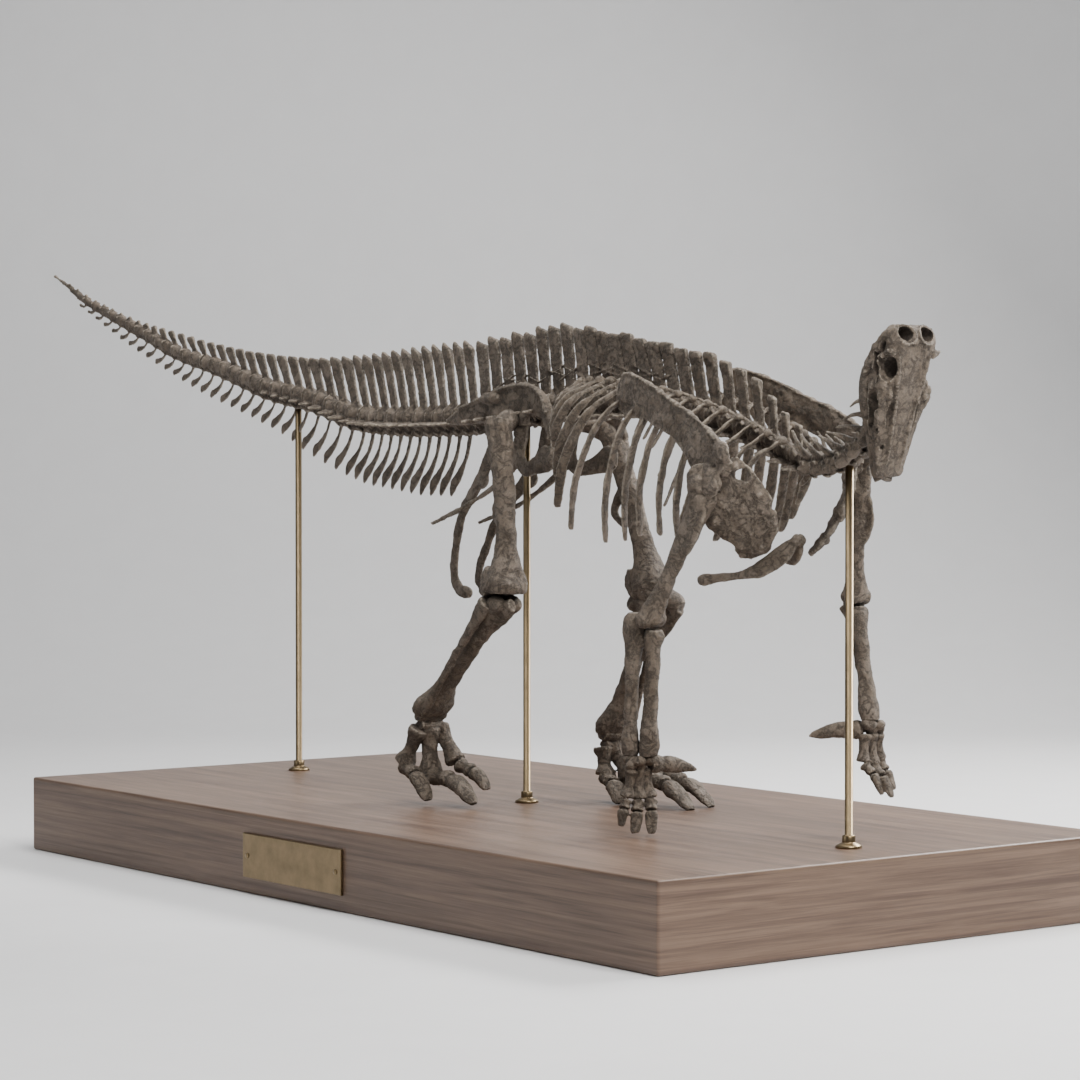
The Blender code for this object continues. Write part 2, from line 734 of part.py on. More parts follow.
def skull_point(along, across, height):
    """A point given along the skull from the snout, across it, and towards the roof."""
    forward = Vector((sin(SKULL_LEAN), 0, cos(SKULL_LEAN)))
    roof = Vector((cos(SKULL_LEAN), 0, -sin(SKULL_LEAN)))
    return SNOUT_TIP + forward * along + roof * height + SIDE_Y * across


def skull_ring(along, top, bottom, roof, cheek):
    deep = top - bottom
    half = [(roof, top), (cheek, top - 0.35 * deep), (0.96 * cheek, bottom + 0.28 * deep),
            (0.66 * cheek, bottom)]
    outline = half + [(-across, height) for across, height in reversed(half)]
    return [skull_point(along, across, height) for across, height in outline]


def skull_bar(rows, sides=6):
    """A bar of the skull along rows of along, across, height, width, depth."""
    placed = [(*skull_point(*row[:3]), row[3], row[4]) for row in rows]
    return tube("skull_bar", placed, SIDE_Y, sides)


def skull_pit(along, across, height, size, turn=0.0, turns=1):
    """A rounded cutter for an opening in the skull: size is along, across, towards roof."""
    pit = knob("skull_pit", (0, 0, 0), (size[2], size[1], size[0]), turns)
    place = Matrix.Translation(skull_point(along, across, height))
    turned = Matrix.Rotation(SKULL_LEAN + turn, 4, "Y")
    pit.data.transform(place @ turned)
    return pit


def skull_nodes(neck):
    """The skull and the lower jaw, parted by one thin plane, with a socket for the neck."""
    pieces = [skin_rings("skull", [skull_ring(*row) for row in SKULL_SECTIONS])]
    pieces.append(shaft("condyle", skull_point(0.640, 0, -0.055), skull_point(0.700, 0, 0.030),
                        [(0, 0.110, 0.090), (1, 0.130, 0.110)], SIDE_Y, 8))
    rami = []
    for hand in (-1, 1):
        pieces.append(skull_bar([
            (0.26, hand * 0.056, -0.050, 0.030, 0.060), (0.36, hand * 0.098, -0.045, 0.036, 0.070),
            (0.46, hand * 0.136, -0.040, 0.038, 0.080), (0.56, hand * 0.138, -0.050, 0.034, 0.090),
            (0.66, hand * 0.132, -0.025, 0.034, 0.080)]))
        pieces.append(skull_bar([
            (0.66, hand * 0.11, 0.060, 0.060, 0.050), (0.655, hand * 0.160, 0.070, 0.030, 0.034),
            (0.665, hand * 0.195, 0.072, 0.014, 0.016)], 4))
        rami.append(skull_bar([
            (-0.004, hand * 0.012, -0.052, 0.050, 0.050), (0.04, hand * 0.030, -0.058, 0.044, 0.056),
            (0.12, hand * 0.040, -0.064, 0.040, 0.062), (0.26, hand * 0.064, -0.072, 0.040, 0.064),
            (0.38, hand * 0.110, -0.080, 0.036, 0.070), (0.46, hand * 0.134, -0.082, 0.034, 0.080),
            (0.56, hand * 0.136, -0.098, 0.034, 0.056), (0.62, hand * 0.134, -0.100, 0.030, 0.030)]))
    skull = fuse("skull", pieces)
    jaw = fuse("jaw", rami)
    front = skull_point(JAW_PLANE[0][0], 0, JAW_PLANE[0][1])
    back = skull_point(JAW_PLANE[1][0], 0, JAW_PLANE[1][1])
    down = SIDE_Y.cross(back - front).normalized()
    if down.x > 0:
        down = -down
    slice_off(skull, front - down * (GAP / 2), down)
    slice_off(jaw, front + down * (GAP / 2), -down)
    carve(skull, [grown_copy(neck)])
    pits = []
    for hand in (-1, 1):
        pits.append(skull_pit(0.575, hand * 0.135, 0.040, (0.120, 0.130, 0.080), 0, 2))
        pits.append(skull_pit(0.455, hand * 0.165, -0.012, (0.190, 0.090, 0.040), radians(6)))
        pits.append(skull_pit(0.320, hand * 0.110, 0.020, (0.150, 0.060, 0.018)))
        pits.append(skull_pit(0.772, hand * 0.064, 0.072, (0.150, 0.080, 0.052), 0, 2))
        pits.append(skull_pit(0.055, hand * 0.045, -0.012, (0.075, 0.040, 0.022)))
    carve(skull, pits)
    return [skull, jaw]


def girdle_side(rows, hand):
    """Rows of the right girdle, or the same on the left, where it is swung forward."""
    if hand < 0:
        return list(rows)
    shift = LEFT_GIRDLE_SHIFT
    return [(x + shift.x, -y + shift.y, z + shift.z, wide) for x, y, z, wide in rows]


def girdle_nodes(hand, tag):
    """Shoulder blade, coracoid and breast bone of one side."""
    blade = girdle_side(smooth_rows(SCAPULA, 2), hand)
    scapula = flat_bone("scapula_" + tag, blade, GIRDLE_THICKNESS, 6)
    plate = [(*row, GIRDLE_THICKNESS) for row in girdle_side(CORACOID, hand)]
    coracoid = tube("coracoid_" + tag, plate, Vector((0.75, -0.66 * hand, 0)), 6)
    carve(coracoid, [grown_copy(scapula)])
    rows = STERNAL if hand < 0 else STERNAL_LEFT
    flat = [(*row, GIRDLE_THICKNESS) for row in rows]
    sternal = tube("sternal_" + tag, flat, Vector((1, 0, -1)), 6)
    slice_off(sternal, (0, hand * GAP / 2, 0), (0, -hand, 0))
    if hand < 0:
        carve(sternal, [grown_copy(coracoid)])
    return [scapula, coracoid, sternal]


def pelvis_nodes(hand, tag):
    """Ilium, ischium and pubis of one side, meeting at one level round the hip socket."""
    def placed(rows):
        return rows if hand < 0 else mirrored(rows)

    middle_y = hand * (PELVIS_INNER_Y + PELVIS_THICKNESS / 2)
    ilium = flat_bone("ilium_" + tag, smooth_rows(placed(ILIUM), 2), PELVIS_THICKNESS, 4)
    peduncles = []
    for x in (-0.080, 0.200):
        rows = [(x, middle_y, PELVIS_SEAM_Z + 0.12, PELVIS_THICKNESS, 0.110),
                (x, middle_y, PELVIS_SEAM_Z, PELVIS_THICKNESS, 0.090)]
        peduncles.append(tube("peduncle", rows, SIDE_Y, 4))
    ilium = fuse("ilium_" + tag, [ilium] + peduncles)
    slice_off(ilium, (0, hand * PELVIS_INNER_Y, 0), (0, -hand, 0))
    ischium = flat_bone("ischium_" + tag, placed(ISCHIUM), PELVIS_THICKNESS, 6)
    blade = flat_bone("blade", placed(PREPUBIS), PELVIS_THICKNESS, 6)
    rod = flat_bone("rod", placed(PUBIC_ROD), PELVIS_THICKNESS * 0.8, 6)
    pubis = fuse("pubis_" + tag, [blade, rod])
    for node in (ischium, pubis):
        slice_off(node, (0, 0, PELVIS_SEAM_Z - GAP), (0, 0, 1))
    carve(pubis, [grown_copy(ischium)])
    return [ilium, ischium, pubis]


def digit(name, start, knuckle, tip, wide, sides=6):
    """A long metapodial, two short bones with knuckles, and a broad hoof at the tip."""
    start, knuckle, tip = Vector(start), Vector(knuckle), Vector(tip)
    reach = tip - knuckle
    arch = Vector((0, 0, 1)) * (reach.length * 0.16)
    spots = [
        (start, 0.95, 0.95), (start.lerp(knuckle, 0.45), 0.68, 0.66),
        (start.lerp(knuckle, 0.92), 1.00, 0.95),
        (knuckle + reach * 0.14 + arch * 0.3, 0.94, 0.78),
        (knuckle + reach * 0.28 + arch * 0.8, 0.70, 0.56),
        (knuckle + reach * 0.46 + arch, 0.92, 0.64),
        (knuckle + reach * 0.62 + arch, 0.74, 0.50),
        (knuckle + reach * 0.82 + arch * 0.6, 0.84, 0.40), (tip, 0.36, 0.14),
    ]
    rows = [(*spot, wide * across, wide * deep) for spot, across, deep in spots]
    side = Vector((0, 0, 1)).cross(reach)
    return tube(name, rows, side.normalized(), sides)


def leg_nodes(joints, toes, hand, tag):
    """Femur, tibia, fibula and foot of one side."""
    hip, knee, ankle = joints
    leg = (knee - hip).normalized()
    head_y = hand * (PELVIS_INNER_Y + PELVIS_THICKNESS + GAP)
    femur = shaft("femur_" + tag, hip, knee, FEMUR, SIDE_Y, 8, Vector((0.035, 0, 0)))
    head = tube("head", [
        (hip.x - 0.010, hip.y, hip.z - 0.060, 0.110, 0.110),
        (hip.x - 0.060, hand * 0.300, hip.z - 0.035, 0.090, 0.095),
        (hip.x - 0.090, hand * 0.245, hip.z - 0.020, 0.125, 0.120),
        (hip.x - 0.100, head_y, hip.z - 0.005, 0.110, 0.110)], Vector((1, 0, 0)), 8)
    slice_off(head, (0, head_y, 0), (0, -hand, 0))
    middle = hip.lerp(knee, 0.50)
    trochanter = tube("trochanter", [
        (*(middle + Vector((0, 0, 0.110))), 0.040, 0.060),
        (*(middle + Vector((-0.085, -hand * 0.02, 0.030))), 0.036, 0.080),
        (*(middle + Vector((-0.100, -hand * 0.02, -0.050))), 0.026, 0.040),
        (*(middle + Vector((-0.020, 0, -0.090))), 0.030, 0.040)], SIDE_Y, 4)
    crest = shaft("crest", hip + Vector((0.055, hand * 0.030, -0.015)),
                  hip.lerp(knee, 0.20) + Vector((0.050, hand * 0.030, 0)),
                  [(0, 0.045, 0.045), (0.4, 0.060, 0.060), (1, 0.030, 0.030)], SIDE_Y, 6)
    femur = fuse("femur_" + tag, [femur, head, trochanter, crest])
    slice_off(femur, knee - leg * (GAP / 2), leg)
    shin = (ankle - knee).normalized()
    tibia = shaft("tibia_" + tag, knee + leg * 0.04 + Vector((-0.030, 0, 0)),
                  ankle + shin * 0.02, TIBIA, SIDE_Y, 8)
    cnemial = shaft("cnemial", knee + leg * 0.03 + Vector((CREST_REACH[tag], hand * 0.03, 0)),
                    knee.lerp(ankle, 0.28) + Vector((0.020, 0, 0)),
                    [(0, 0.050, 0.070), (0.3, 0.050, 0.070), (1, 0.030, 0.040)], SIDE_Y, 6)
    plateau = shaft("plateau", knee - leg * 0.02, knee + leg * 0.09,
                    [(0, 0.190, 0.200), (1, 0.180, 0.180)], SIDE_Y, 8)
    tibia = fuse("tibia_" + tag, [tibia, cnemial, plateau])
    slice_off(tibia, knee + leg * (GAP / 2), -leg)
    slice_off(tibia, ankle - shin * (GAP / 2), shin)
    outer = Vector((0.015, hand * 0.115, 0))
    top = knee + leg * 0.03 + outer
    low = ankle + Vector((0.050, hand * 0.075, 0)) - shin * 0.02
    fibula = shaft("fibula_" + tag, top, low, FIBULA, SIDE_Y, 6)
    carve(fibula, [grown_copy(tibia)])
    pieces = [shaft("foot_" + tag, ankle - shin * 0.02, ankle + Vector((-0.012, 0, -0.085)),
                    [(0, 0.215, 0.120), (0.5, 0.225, 0.125), (1, 0.190, 0.100)], SIDE_Y, 8)]
    for index, (knuckle, tip) in enumerate(toes):
        spread = hand * (index - 1) * 0.066
        start = ankle + Vector((0.0, spread, -0.040))
        pieces.append(digit("digit", start, knuckle, tip, TOE_WIDTH[index]))
    foot = fuse("foot_" + tag, pieces)
    slice_off(foot, ankle + shin * (GAP / 2), -shin)
    slice_off(foot, (0, 0, BASE_HEIGHT + GAP), (0, 0, -1))
    return [femur, tibia, fibula, foot]


def grown_copy(node):
    """A copy of a body, swelled by the clearance along its normals."""
    copy = bpy.data.objects.new("cutter", node.data.copy())
    bpy.context.scene.collection.objects.link(copy)
    work = bmesh.new()
    work.from_mesh(copy.data)
    work.normal_update()
    moves = [vert.normal * (GAP * min(vert.calc_shell_factor(), SHARPEST)) for vert in work.verts]
    for vert, move in zip(work.verts, moves):
        vert.co += move
    work.to_mesh(copy.data)
    work.free()
    return copy


def arm_nodes(joints, fingers, thumb, girdle, hand, tag):
    """Humerus, ulna, radius, hand and thumb spike of one side."""
    shoulder, elbow, wrist = joints
    scapula, coracoid = girdle
    upper = (elbow - shoulder).normalized()
    humerus = shaft("humerus_" + tag, shoulder, elbow, HUMERUS, SIDE_Y, 8)
    crest = tube("crest", [
        (*shoulder.lerp(elbow, 0.10), 0.050, 0.080),
        (*(shoulder.lerp(elbow, 0.22) + Vector((0.050, hand * 0.030, 0))), 0.045, 0.100),
        (*(shoulder.lerp(elbow, 0.42) + Vector((0.055, hand * 0.030, 0))), 0.040, 0.090),
        (*shoulder.lerp(elbow, 0.54), 0.040, 0.060)], SIDE_Y, 4)
    humerus = fuse("humerus_" + tag, [humerus, crest])
    carve(coracoid, [grown_copy(humerus)])
    carve(humerus, [grown_copy(scapula)])
    slice_off(humerus, elbow - upper * (GAP / 2), upper)
    fore = (wrist - elbow).normalized()
    back = Vector((-1, 0, 0))
    ulna_top = elbow + back * 0.085 + Vector((0, hand * 0.030, 0.045))
    ulna_low = wrist + fore * 0.02 + back * 0.042 + Vector((0, hand * 0.040, 0))
    ulna = shaft("ulna_" + tag, ulna_top, ulna_low, ULNA, SIDE_Y, 8)
    shelf = shaft("shelf", elbow + back * 0.070 - upper * 0.02, elbow - back * 0.005 + fore * 0.10,
                  [(0, 0.085, 0.090), (1, 0.060, 0.070)], SIDE_Y, 6)
    ulna = fuse("ulna_" + tag, [ulna, shelf])
    carve(ulna, [grown_copy(humerus)])
    slice_off(ulna, wrist - fore * (GAP / 2), fore)
    radius_top = elbow + Vector((0.040, -hand * 0.020, -0.010))
    radius_low = wrist + fore * 0.02 + Vector((0.040, -hand * 0.026, 0))
    radius = shaft("radius_" + tag, radius_top, radius_low, RADIUS, SIDE_Y, 8)
    slice_off(radius, elbow + upper * (GAP / 2), -upper)
    slice_off(radius, wrist - fore * (GAP / 2), fore)
    carve(radius, [grown_copy(ulna)])
    pieces = [shaft("hand_" + tag, wrist - fore * 0.01, wrist + fore * 0.090,
                    [(0, 0.150, 0.130), (0.5, 0.165, 0.140), (1, 0.150, 0.120)], SIDE_Y, 8)]
    for index, (knuckle, tip) in enumerate(fingers):
        start = wrist + fore * 0.070 + Vector((0, hand * (index - 1) * 0.046, 0))
        pieces.append(digit("digit", start, knuckle, tip, FINGER_WIDTH))
    palm = fuse("hand_" + tag, pieces)
    slice_off(palm, wrist + fore * (GAP / 2), -fore)
    slice_off(palm, (0, 0, BASE_HEIGHT + GAP), (0, 0, -1))
    inner_y = wrist.y - hand * PALM_INNER
    slice_off(palm, (0, inner_y, 0), (0, -hand, 0))
    base, point = Vector(thumb[0]), Vector(thumb[1])
    spike = [(0.00, 0.060, 0.070), (0.16, 0.080, 0.095), (0.34, 0.066, 0.080),
             (0.65, 0.046, 0.056), (0.90, 0.024, 0.028), (1.00, 0.008, 0.008)]
    thumb_node = shaft("thumb_" + tag, base, point, spike, Vector((1, 0, 0)), 6)
    slice_off(thumb_node, (0, inner_y - hand * GAP, 0), (0, hand, 0))
    return [humerus, ulna, radius, palm, thumb_node]


def turned(name, x, profile, sides):
    """A vertical turned piece over x on the centre line: profile is height, radius."""
    rings = []
    for height, radius in profile:
        rings.append([Vector((x + radius * cos(2 * pi * i / sides),
                              radius * sin(2 * pi * i / sides), height)) for i in range(sides)])
    return skin_rings(name, rings)


def rod_top(column, x):
    """Where a rod ends inside the vertebra that it carries."""
    centre, _, height, _ = column.read(column.distance(x))
    return centre.z - height / 2 + ROD_SOCKET


def rod_socket(column, x):
    profile = [(BASE_HEIGHT + 0.2, ROD_RADIUS + GAP), (rod_top(column, x) + GAP, ROD_RADIUS + GAP)]
    return turned("socket", x, profile, ROD_SIDES)


def rod_node(column, name, x):
    foot = BASE_HEIGHT + GAP
    profile = [
        (foot, FLANGE_RADIUS), (foot + FLANGE_HEIGHT * 0.55, FLANGE_RADIUS),
        (foot + FLANGE_HEIGHT, FLANGE_RADIUS * 0.72), (foot + FLANGE_HEIGHT, COLLAR_RADIUS),
        (foot + COLLAR_TOP, COLLAR_RADIUS), (foot + COLLAR_TOP, ROD_RADIUS),
        (rod_top(column, x), ROD_RADIUS),
    ]
    return turned(name, x, profile, ROD_SIDES)


def stand_nodes(column):
    """Base, rods, plaque and its two screws."""
    half = (BASE_LENGTH / 2, BASE_WIDTH / 2)
    base = box("stand_base", (-half[0], -half[1], 0), (half[0], half[1], BASE_HEIGHT))
    soften(base, BASE_EDGE, 3)
    back = -half[1] - GAP
    front = back - PLAQUE_THICKNESS
    low = PLAQUE_Z - PLAQUE_HEIGHT / 2
    left = PLAQUE_X - PLAQUE_LENGTH / 2
    plaque = box("stand_plaque", (left, front, low),
                 (left + PLAQUE_LENGTH, back, low + PLAQUE_HEIGHT))
    soften(plaque, PLAQUE_THICKNESS * 0.3, 1)
    nodes = [base, plaque]
    for tag, x in (("rear", left + SCREW_INSET), ("front", left + PLAQUE_LENGTH - SCREW_INSET)):
        profile = [(0.0, SCREW_RADIUS), (0.004, SCREW_RADIUS), (0.008, SCREW_RADIUS * 0.62)]
        screw = turned("stand_screw_" + tag, 0, profile, 10)
        screw.data.transform(Matrix.Translation((x, front - GAP, PLAQUE_Z))
                             @ Matrix.Rotation(radians(90), 4, "X"))
        nodes.append(screw)
    for tag, x in (("tail", ROD_TAIL_X), ("hip", ROD_HIP_X), ("neck", ROD_NECK_X)):
        nodes.append(rod_node(column, "stand_rod_" + tag, x))
    return nodes


def soften(node, width, segments):
    """Round every edge of a box."""
    work = bmesh.new()
    work.from_mesh(node.data)
    bmesh.ops.bevel(work, geom=work.edges[:], offset=width, segments=segments,
                    affect="EDGES", profile=0.5)
    work.to_mesh(node.data)
    work.free()


def main():
    clear_scene()
    column = Column()
    wood = material("wood", WOOD, 0.5, 0.0)
    brass = material("brass", BRASS, 0.35, 1.0)
    bone = material("bone", BONE, 0.75, 0.0)
    stand = stand_nodes(column)
    finish(stand[0], wood)
    for node in stand[1:]:
        finish(node, brass)
    tail_middle = tail_length("tail_middle", column, TAIL_MIDDLE, True)
    sacrum = sacrum_node(column)
    neck = neck_node(column)
    carve(tail_middle, [rod_socket(column, ROD_TAIL_X)])
    carve(sacrum, [rod_socket(column, ROD_HIP_X)])
    carve(neck, [rod_socket(column, ROD_NECK_X)])
    tail_end = tail_length("tail_end", column, TAIL_END, False)
    tail_base = tail_length("tail_base", column, TAIL_BASE, True)
    carve(tail_end, [grown_copy(tail_middle)])
    carve(tail_middle, [grown_copy(tail_base)])
    bones = [tail_end, tail_middle, tail_base, sacrum, neck]
    bones += skull_nodes(neck)
    legs = ((-1, "right", (HIP_R, KNEE_R, ANKLE_R), TOES_R),
            (1, "left", (HIP_L, KNEE_L, ANKLE_L), TOES_L))
    for hand, tag, joints, toes in legs:
        bones += pelvis_nodes(hand, tag)
        bones += leg_nodes(joints, toes, hand, tag)
    arms = ((-1, "right", (SHOULDER_R, ELBOW_R, WRIST_R), FINGERS_R, THUMB_R),
            (1, "left", (SHOULDER_L, ELBOW_L, WRIST_L), FINGERS_L, THUMB_L))
    for hand, tag, joints, fingers, thumb in arms:
        girdle = girdle_nodes(hand, tag)
        bones += girdle
        bones.append(rib_cage(column, hand, girdle[0]))
        bones += arm_nodes(joints, fingers, thumb, girdle[:2], hand, tag)
    for node in bones:
        finish(node, bone)


main()
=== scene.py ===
"""Looks of a mounted ornithopod skeleton, life size, on its wooden base.

Metres, +Z up, +X from the tail to the head, +Y the animal's left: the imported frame's
own axes. Each bone is melted from overlapping bodies into one skin, and roughened.
Bones that repeat, and the ribs, come from Geometry Nodes.
"""

from collections import namedtuple
from math import cos, pi, radians, sin, tan

import bmesh
import bpy
from mathutils import Euler, Matrix, Vector


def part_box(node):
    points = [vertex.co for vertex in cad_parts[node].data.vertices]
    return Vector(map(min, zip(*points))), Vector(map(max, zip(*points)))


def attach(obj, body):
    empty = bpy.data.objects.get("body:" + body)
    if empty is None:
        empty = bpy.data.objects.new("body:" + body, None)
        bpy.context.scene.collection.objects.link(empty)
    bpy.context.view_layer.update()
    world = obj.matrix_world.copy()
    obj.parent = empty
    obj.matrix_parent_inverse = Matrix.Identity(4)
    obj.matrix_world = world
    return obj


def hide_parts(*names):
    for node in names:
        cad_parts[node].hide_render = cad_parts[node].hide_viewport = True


bl_info = {
    "name": "Mounted Skeleton",
    "version": (1, 0, 0),
    "blender": (4, 5, 0),
    "location": "View3D > Sidebar > Skeleton",
    "description": "Dresses the packed frame of a mounted skeleton with detailed bones and a wooden base",
    "category": "Add Mesh",
}

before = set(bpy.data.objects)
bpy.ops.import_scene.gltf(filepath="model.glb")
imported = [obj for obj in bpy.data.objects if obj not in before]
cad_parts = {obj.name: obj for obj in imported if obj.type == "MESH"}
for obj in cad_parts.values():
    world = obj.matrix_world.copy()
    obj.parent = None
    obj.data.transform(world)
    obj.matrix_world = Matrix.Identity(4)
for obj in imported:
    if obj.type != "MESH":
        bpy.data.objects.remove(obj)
BASE_LOW, BASE_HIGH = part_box("stand_base")
PLAQUE_LOW, PLAQUE_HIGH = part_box("stand_plaque")
BASE_TOP = BASE_HIGH[2]

SIDE_Y = Vector((0, 1, 0))
UP = Vector((0, 0, 1))
SIDES = ((-1, "right"), (1, "left"))

# Backbone from tail tip to skull: x, z, height and width of the centrum
COLUMN = [
    (-5.76, 3.808, 0.018, 0.016), (-5.53, 3.713, 0.036, 0.03), (-5.26, 3.6, 0.05, 0.042),
    (-4.96, 3.505, 0.062, 0.052), (-4.63, 3.4, 0.072, 0.06), (-4.31, 3.3, 0.08, 0.067),
    (-4.0, 3.2, 0.084, 0.07), (-3.4, 3.07, 0.102, 0.085), (-2.82, 2.925, 0.118, 0.1),
    (-2.28, 2.84, 0.128, 0.11), (-1.76, 2.725, 0.138, 0.125), (-1.18, 2.694, 0.146, 0.135),
    (-0.49, 2.7, 0.15, 0.145), (0.0, 2.735, 0.152, 0.15), (0.5, 2.77, 0.146, 0.13),
    (0.95, 2.775, 0.138, 0.12), (1.4, 2.73, 0.13, 0.115), (1.8, 2.645, 0.12, 0.11),
    (2.1, 2.55, 0.11, 0.105), (2.38, 2.445, 0.1, 0.1), (2.62, 2.45, 0.09, 0.095),
    (2.82, 2.56, 0.084, 0.09), (2.94, 2.74, 0.08, 0.085), (3.009, 2.934, 0.07, 0.076),
]
# Steps between two rows of the column, and how far ahead and behind its direction is read
COLUMN_STEPS = 12
COLUMN_REACH = 0.03
# Tips of the neural spines, then of the chevrons under the tail: x, z
SPINE_TIPS = [
    (-5.76, 3.83), (-5.2, 3.61), (-4.6, 3.44), (-4.0, 3.33), (-3.64, 3.26), (-3.11, 3.18),
    (-2.63, 3.13), (-2.2, 3.1), (-1.7, 3.1), (-1.0, 3.13), (-0.45, 3.15), (0.0, 3.185),
    (0.25, 3.218), (0.56, 3.194), (0.93, 3.14), (1.31, 3.07), (1.61, 3.015), (1.82, 2.954),
    (1.93, 2.903), (2.05, 2.83), (2.14, 2.75), (2.24, 2.67), (2.38, 2.59), (2.6, 2.55),
    (2.78, 2.64), (2.9, 2.83), (2.98, 3.0),
]
CHEVRON_TIPS = [
    (-5.6, 3.68), (-5.37, 3.56), (-4.74, 3.29), (-4.19, 3.09), (-3.66, 2.91), (-3.25, 2.8),
    (-2.69, 2.65), (-2.24, 2.48), (-1.91, 2.38), (-1.64, 2.315), (-1.38, 2.29), (-1.06, 2.256),
    (-0.73, 2.25), (-0.4, 2.32),
]
# Lengths of the backbone: first x, last x, vertebrae
TAIL_END = (-5.76, -3.64, 17)
TAIL_MIDDLE = (-3.64, -1.7, 15)
TAIL_BASE = (-1.7, -0.47, 12)
SACRUM = (-0.47, 0.467, 8)
BACK = (0.467, 2.1, 14)
SHOULDER = (2.1, 2.4, 3)
NECK = (2.4, 3.009, 10)

# Ribs from the hindmost to the foremost: x and z of the lower end, widest y
RIBS = [
    (0.61, 2.7, 0.24), (0.62, 2.6, 0.31), (0.65, 2.56, 0.35), (0.69, 2.51, 0.38), (0.73, 2.35, 0.4),
    (0.76, 2.18, 0.42), (0.89, 2.06, 0.43), (1.2, 1.99, 0.43), (1.36, 2.0, 0.42),
    (1.47, 2.03, 0.41), (1.62, 2.04, 0.39), (1.74, 2.02, 0.37), (1.84, 2.05, 0.34),
    (1.95, 2.12, 0.31), (2.04, 2.2, 0.27), (2.12, 2.3, 0.22),
]

# A rib from its knob down: shares of the way back, of the widest y and its extra, the extra
# height, share of the drop, share of the breadth
RIB_SHARES = [
    (0.06, 0.14, 0.05, 0.006, 0, 0.66), (0.13, 0.36, 0.04, 0.018, 0, 0.86),
    (0.26, 0.7, 0, 0, 0.07, 0.92), (0.38, 0.87, 0, 0, 0.17, 0.95), (0.54, 0.97, 0, 0, 0.34, 1.0),
    (0.8, 1.0, 0, 0, 0.66, 1.02),
]

# Skull: snout tip in the mid-plane and lean of its long axis
SNOUT_TIP = Vector((3.0, 0.0, 2.33))
SKULL_LEAN = radians(8)

# Along the skull: roof height, half width of the roof, height of the shoulder, half width of
# the cheek, palate height, half width of the palate
SKULL_SECTIONS = [
    (0.012, -0.008, 0.04, -0.018, 0.056, -0.04, 0.04),
    (0.03, 0.014, 0.048, -0.004, 0.082, -0.048, 0.06),
    (0.065, 0.022, 0.046, 0.006, 0.09, -0.052, 0.064),
    (0.11, 0.028, 0.05, 0.006, 0.098, -0.054, 0.07), (0.18, 0.04, 0.056, 0.014, 0.112, -0.06, 0.08),
    (0.26, 0.05, 0.06, 0.022, 0.13, -0.07, 0.096), (0.34, 0.06, 0.064, 0.03, 0.15, -0.078, 0.114),
    (0.41, 0.072, 0.07, 0.04, 0.16, -0.078, 0.126),
    (0.46, 0.078, 0.078, 0.046, 0.162, -0.078, 0.13),
    (0.52, 0.086, 0.086, 0.046, 0.156, -0.074, 0.128),
    (0.58, 0.094, 0.092, 0.046, 0.15, -0.062, 0.122),
    (0.64, 0.103, 0.106, 0.058, 0.15, -0.048, 0.112),
    (0.7, 0.107, 0.122, 0.066, 0.154, -0.034, 0.102),
    (0.745, 0.1, 0.124, 0.056, 0.148, -0.022, 0.096),
    (0.772, 0.084, 0.112, 0.042, 0.134, -0.006, 0.09),
    (0.786, 0.062, 0.088, 0.03, 0.106, 0.01, 0.07),
]
# Bars of one side of the skull: steps, sides, rows of place along, across and up, width, depth
SKULL_BARS = (
    (4, 12, [(0.64, 0.104, 0.09, 0.024, 0.026), (0.56, 0.09, 0.086, 0.022, 0.026),
             (0.5, 0.086, 0.08, 0.026, 0.026), (0.4, 0.072, 0.068, 0.022, 0.022),
             (0.28, 0.058, 0.05, 0.02, 0.02), (0.16, 0.05, 0.032, 0.018, 0.018),
             (0.08, 0.046, 0.018, 0.016, 0.016)]),
    (4, 14, [(0.61, 0.118, -0.01, 0.056, 0.09), (0.54, 0.122, -0.04, 0.056, 0.09),
             (0.48, 0.126, -0.07, 0.05, 0.07)]),
    (4, 12, [(0.655, 0.146, 0.07, 0.044, 0.04), (0.635, 0.152, 0.028, 0.028, 0.028),
             (0.6, 0.15, -0.008, 0.028, 0.036), (0.555, 0.148, -0.036, 0.036, 0.046)]),
    (4, 12, [(0.735, 0.134, 0.04, 0.04, 0.034), (0.69, 0.148, 0.006, 0.034, 0.03),
             (0.63, 0.15, -0.034, 0.036, 0.034)]),
    (5, 16, [(0.764, 0.11, 0.062, 0.05, 0.05), (0.735, 0.142, 0.026, 0.044, 0.05),
             (0.68, 0.146, -0.014, 0.042, 0.05), (0.62, 0.144, -0.056, 0.046, 0.054),
             (0.56, 0.14, -0.084, 0.044, 0.05), (0.53, 0.138, -0.098, 0.04, 0.036)]),
    (5, 14, [(0.3, 0.118, -0.06, 0.03, 0.04), (0.22, 0.092, -0.058, 0.03, 0.036),
             (0.14, 0.078, -0.05, 0.026, 0.03)]),
)
# Lumps of one side of the skull: place along, across and up, size
SKULL_LUMPS = (
    (0.43, 0.15, 0.044, 0.054), (0.465, 0.146, 0.056, 0.044), (0.4, 0.142, 0.036, 0.046),
    (0.44, 0.12, 0.064, 0.042), (0.285, 0.112, 0.008, 0.034), (0.6, 0.138, -0.05, 0.058),
    (0.563, 0.088, 0.052, 0.046), (0.215, 0.086, 0.004, 0.03), (0.15, 0.078, 0.006, 0.028),
    (0.585, 0.15, -0.07, 0.05), (0.66, 0.15, -0.034, 0.046), (0.54, 0.148, -0.088, 0.046),
    (0.7, 0.146, 0.0, 0.04), (0.47, 0.152, -0.03, 0.044), (0.5, 0.14, 0.03, 0.044),
)
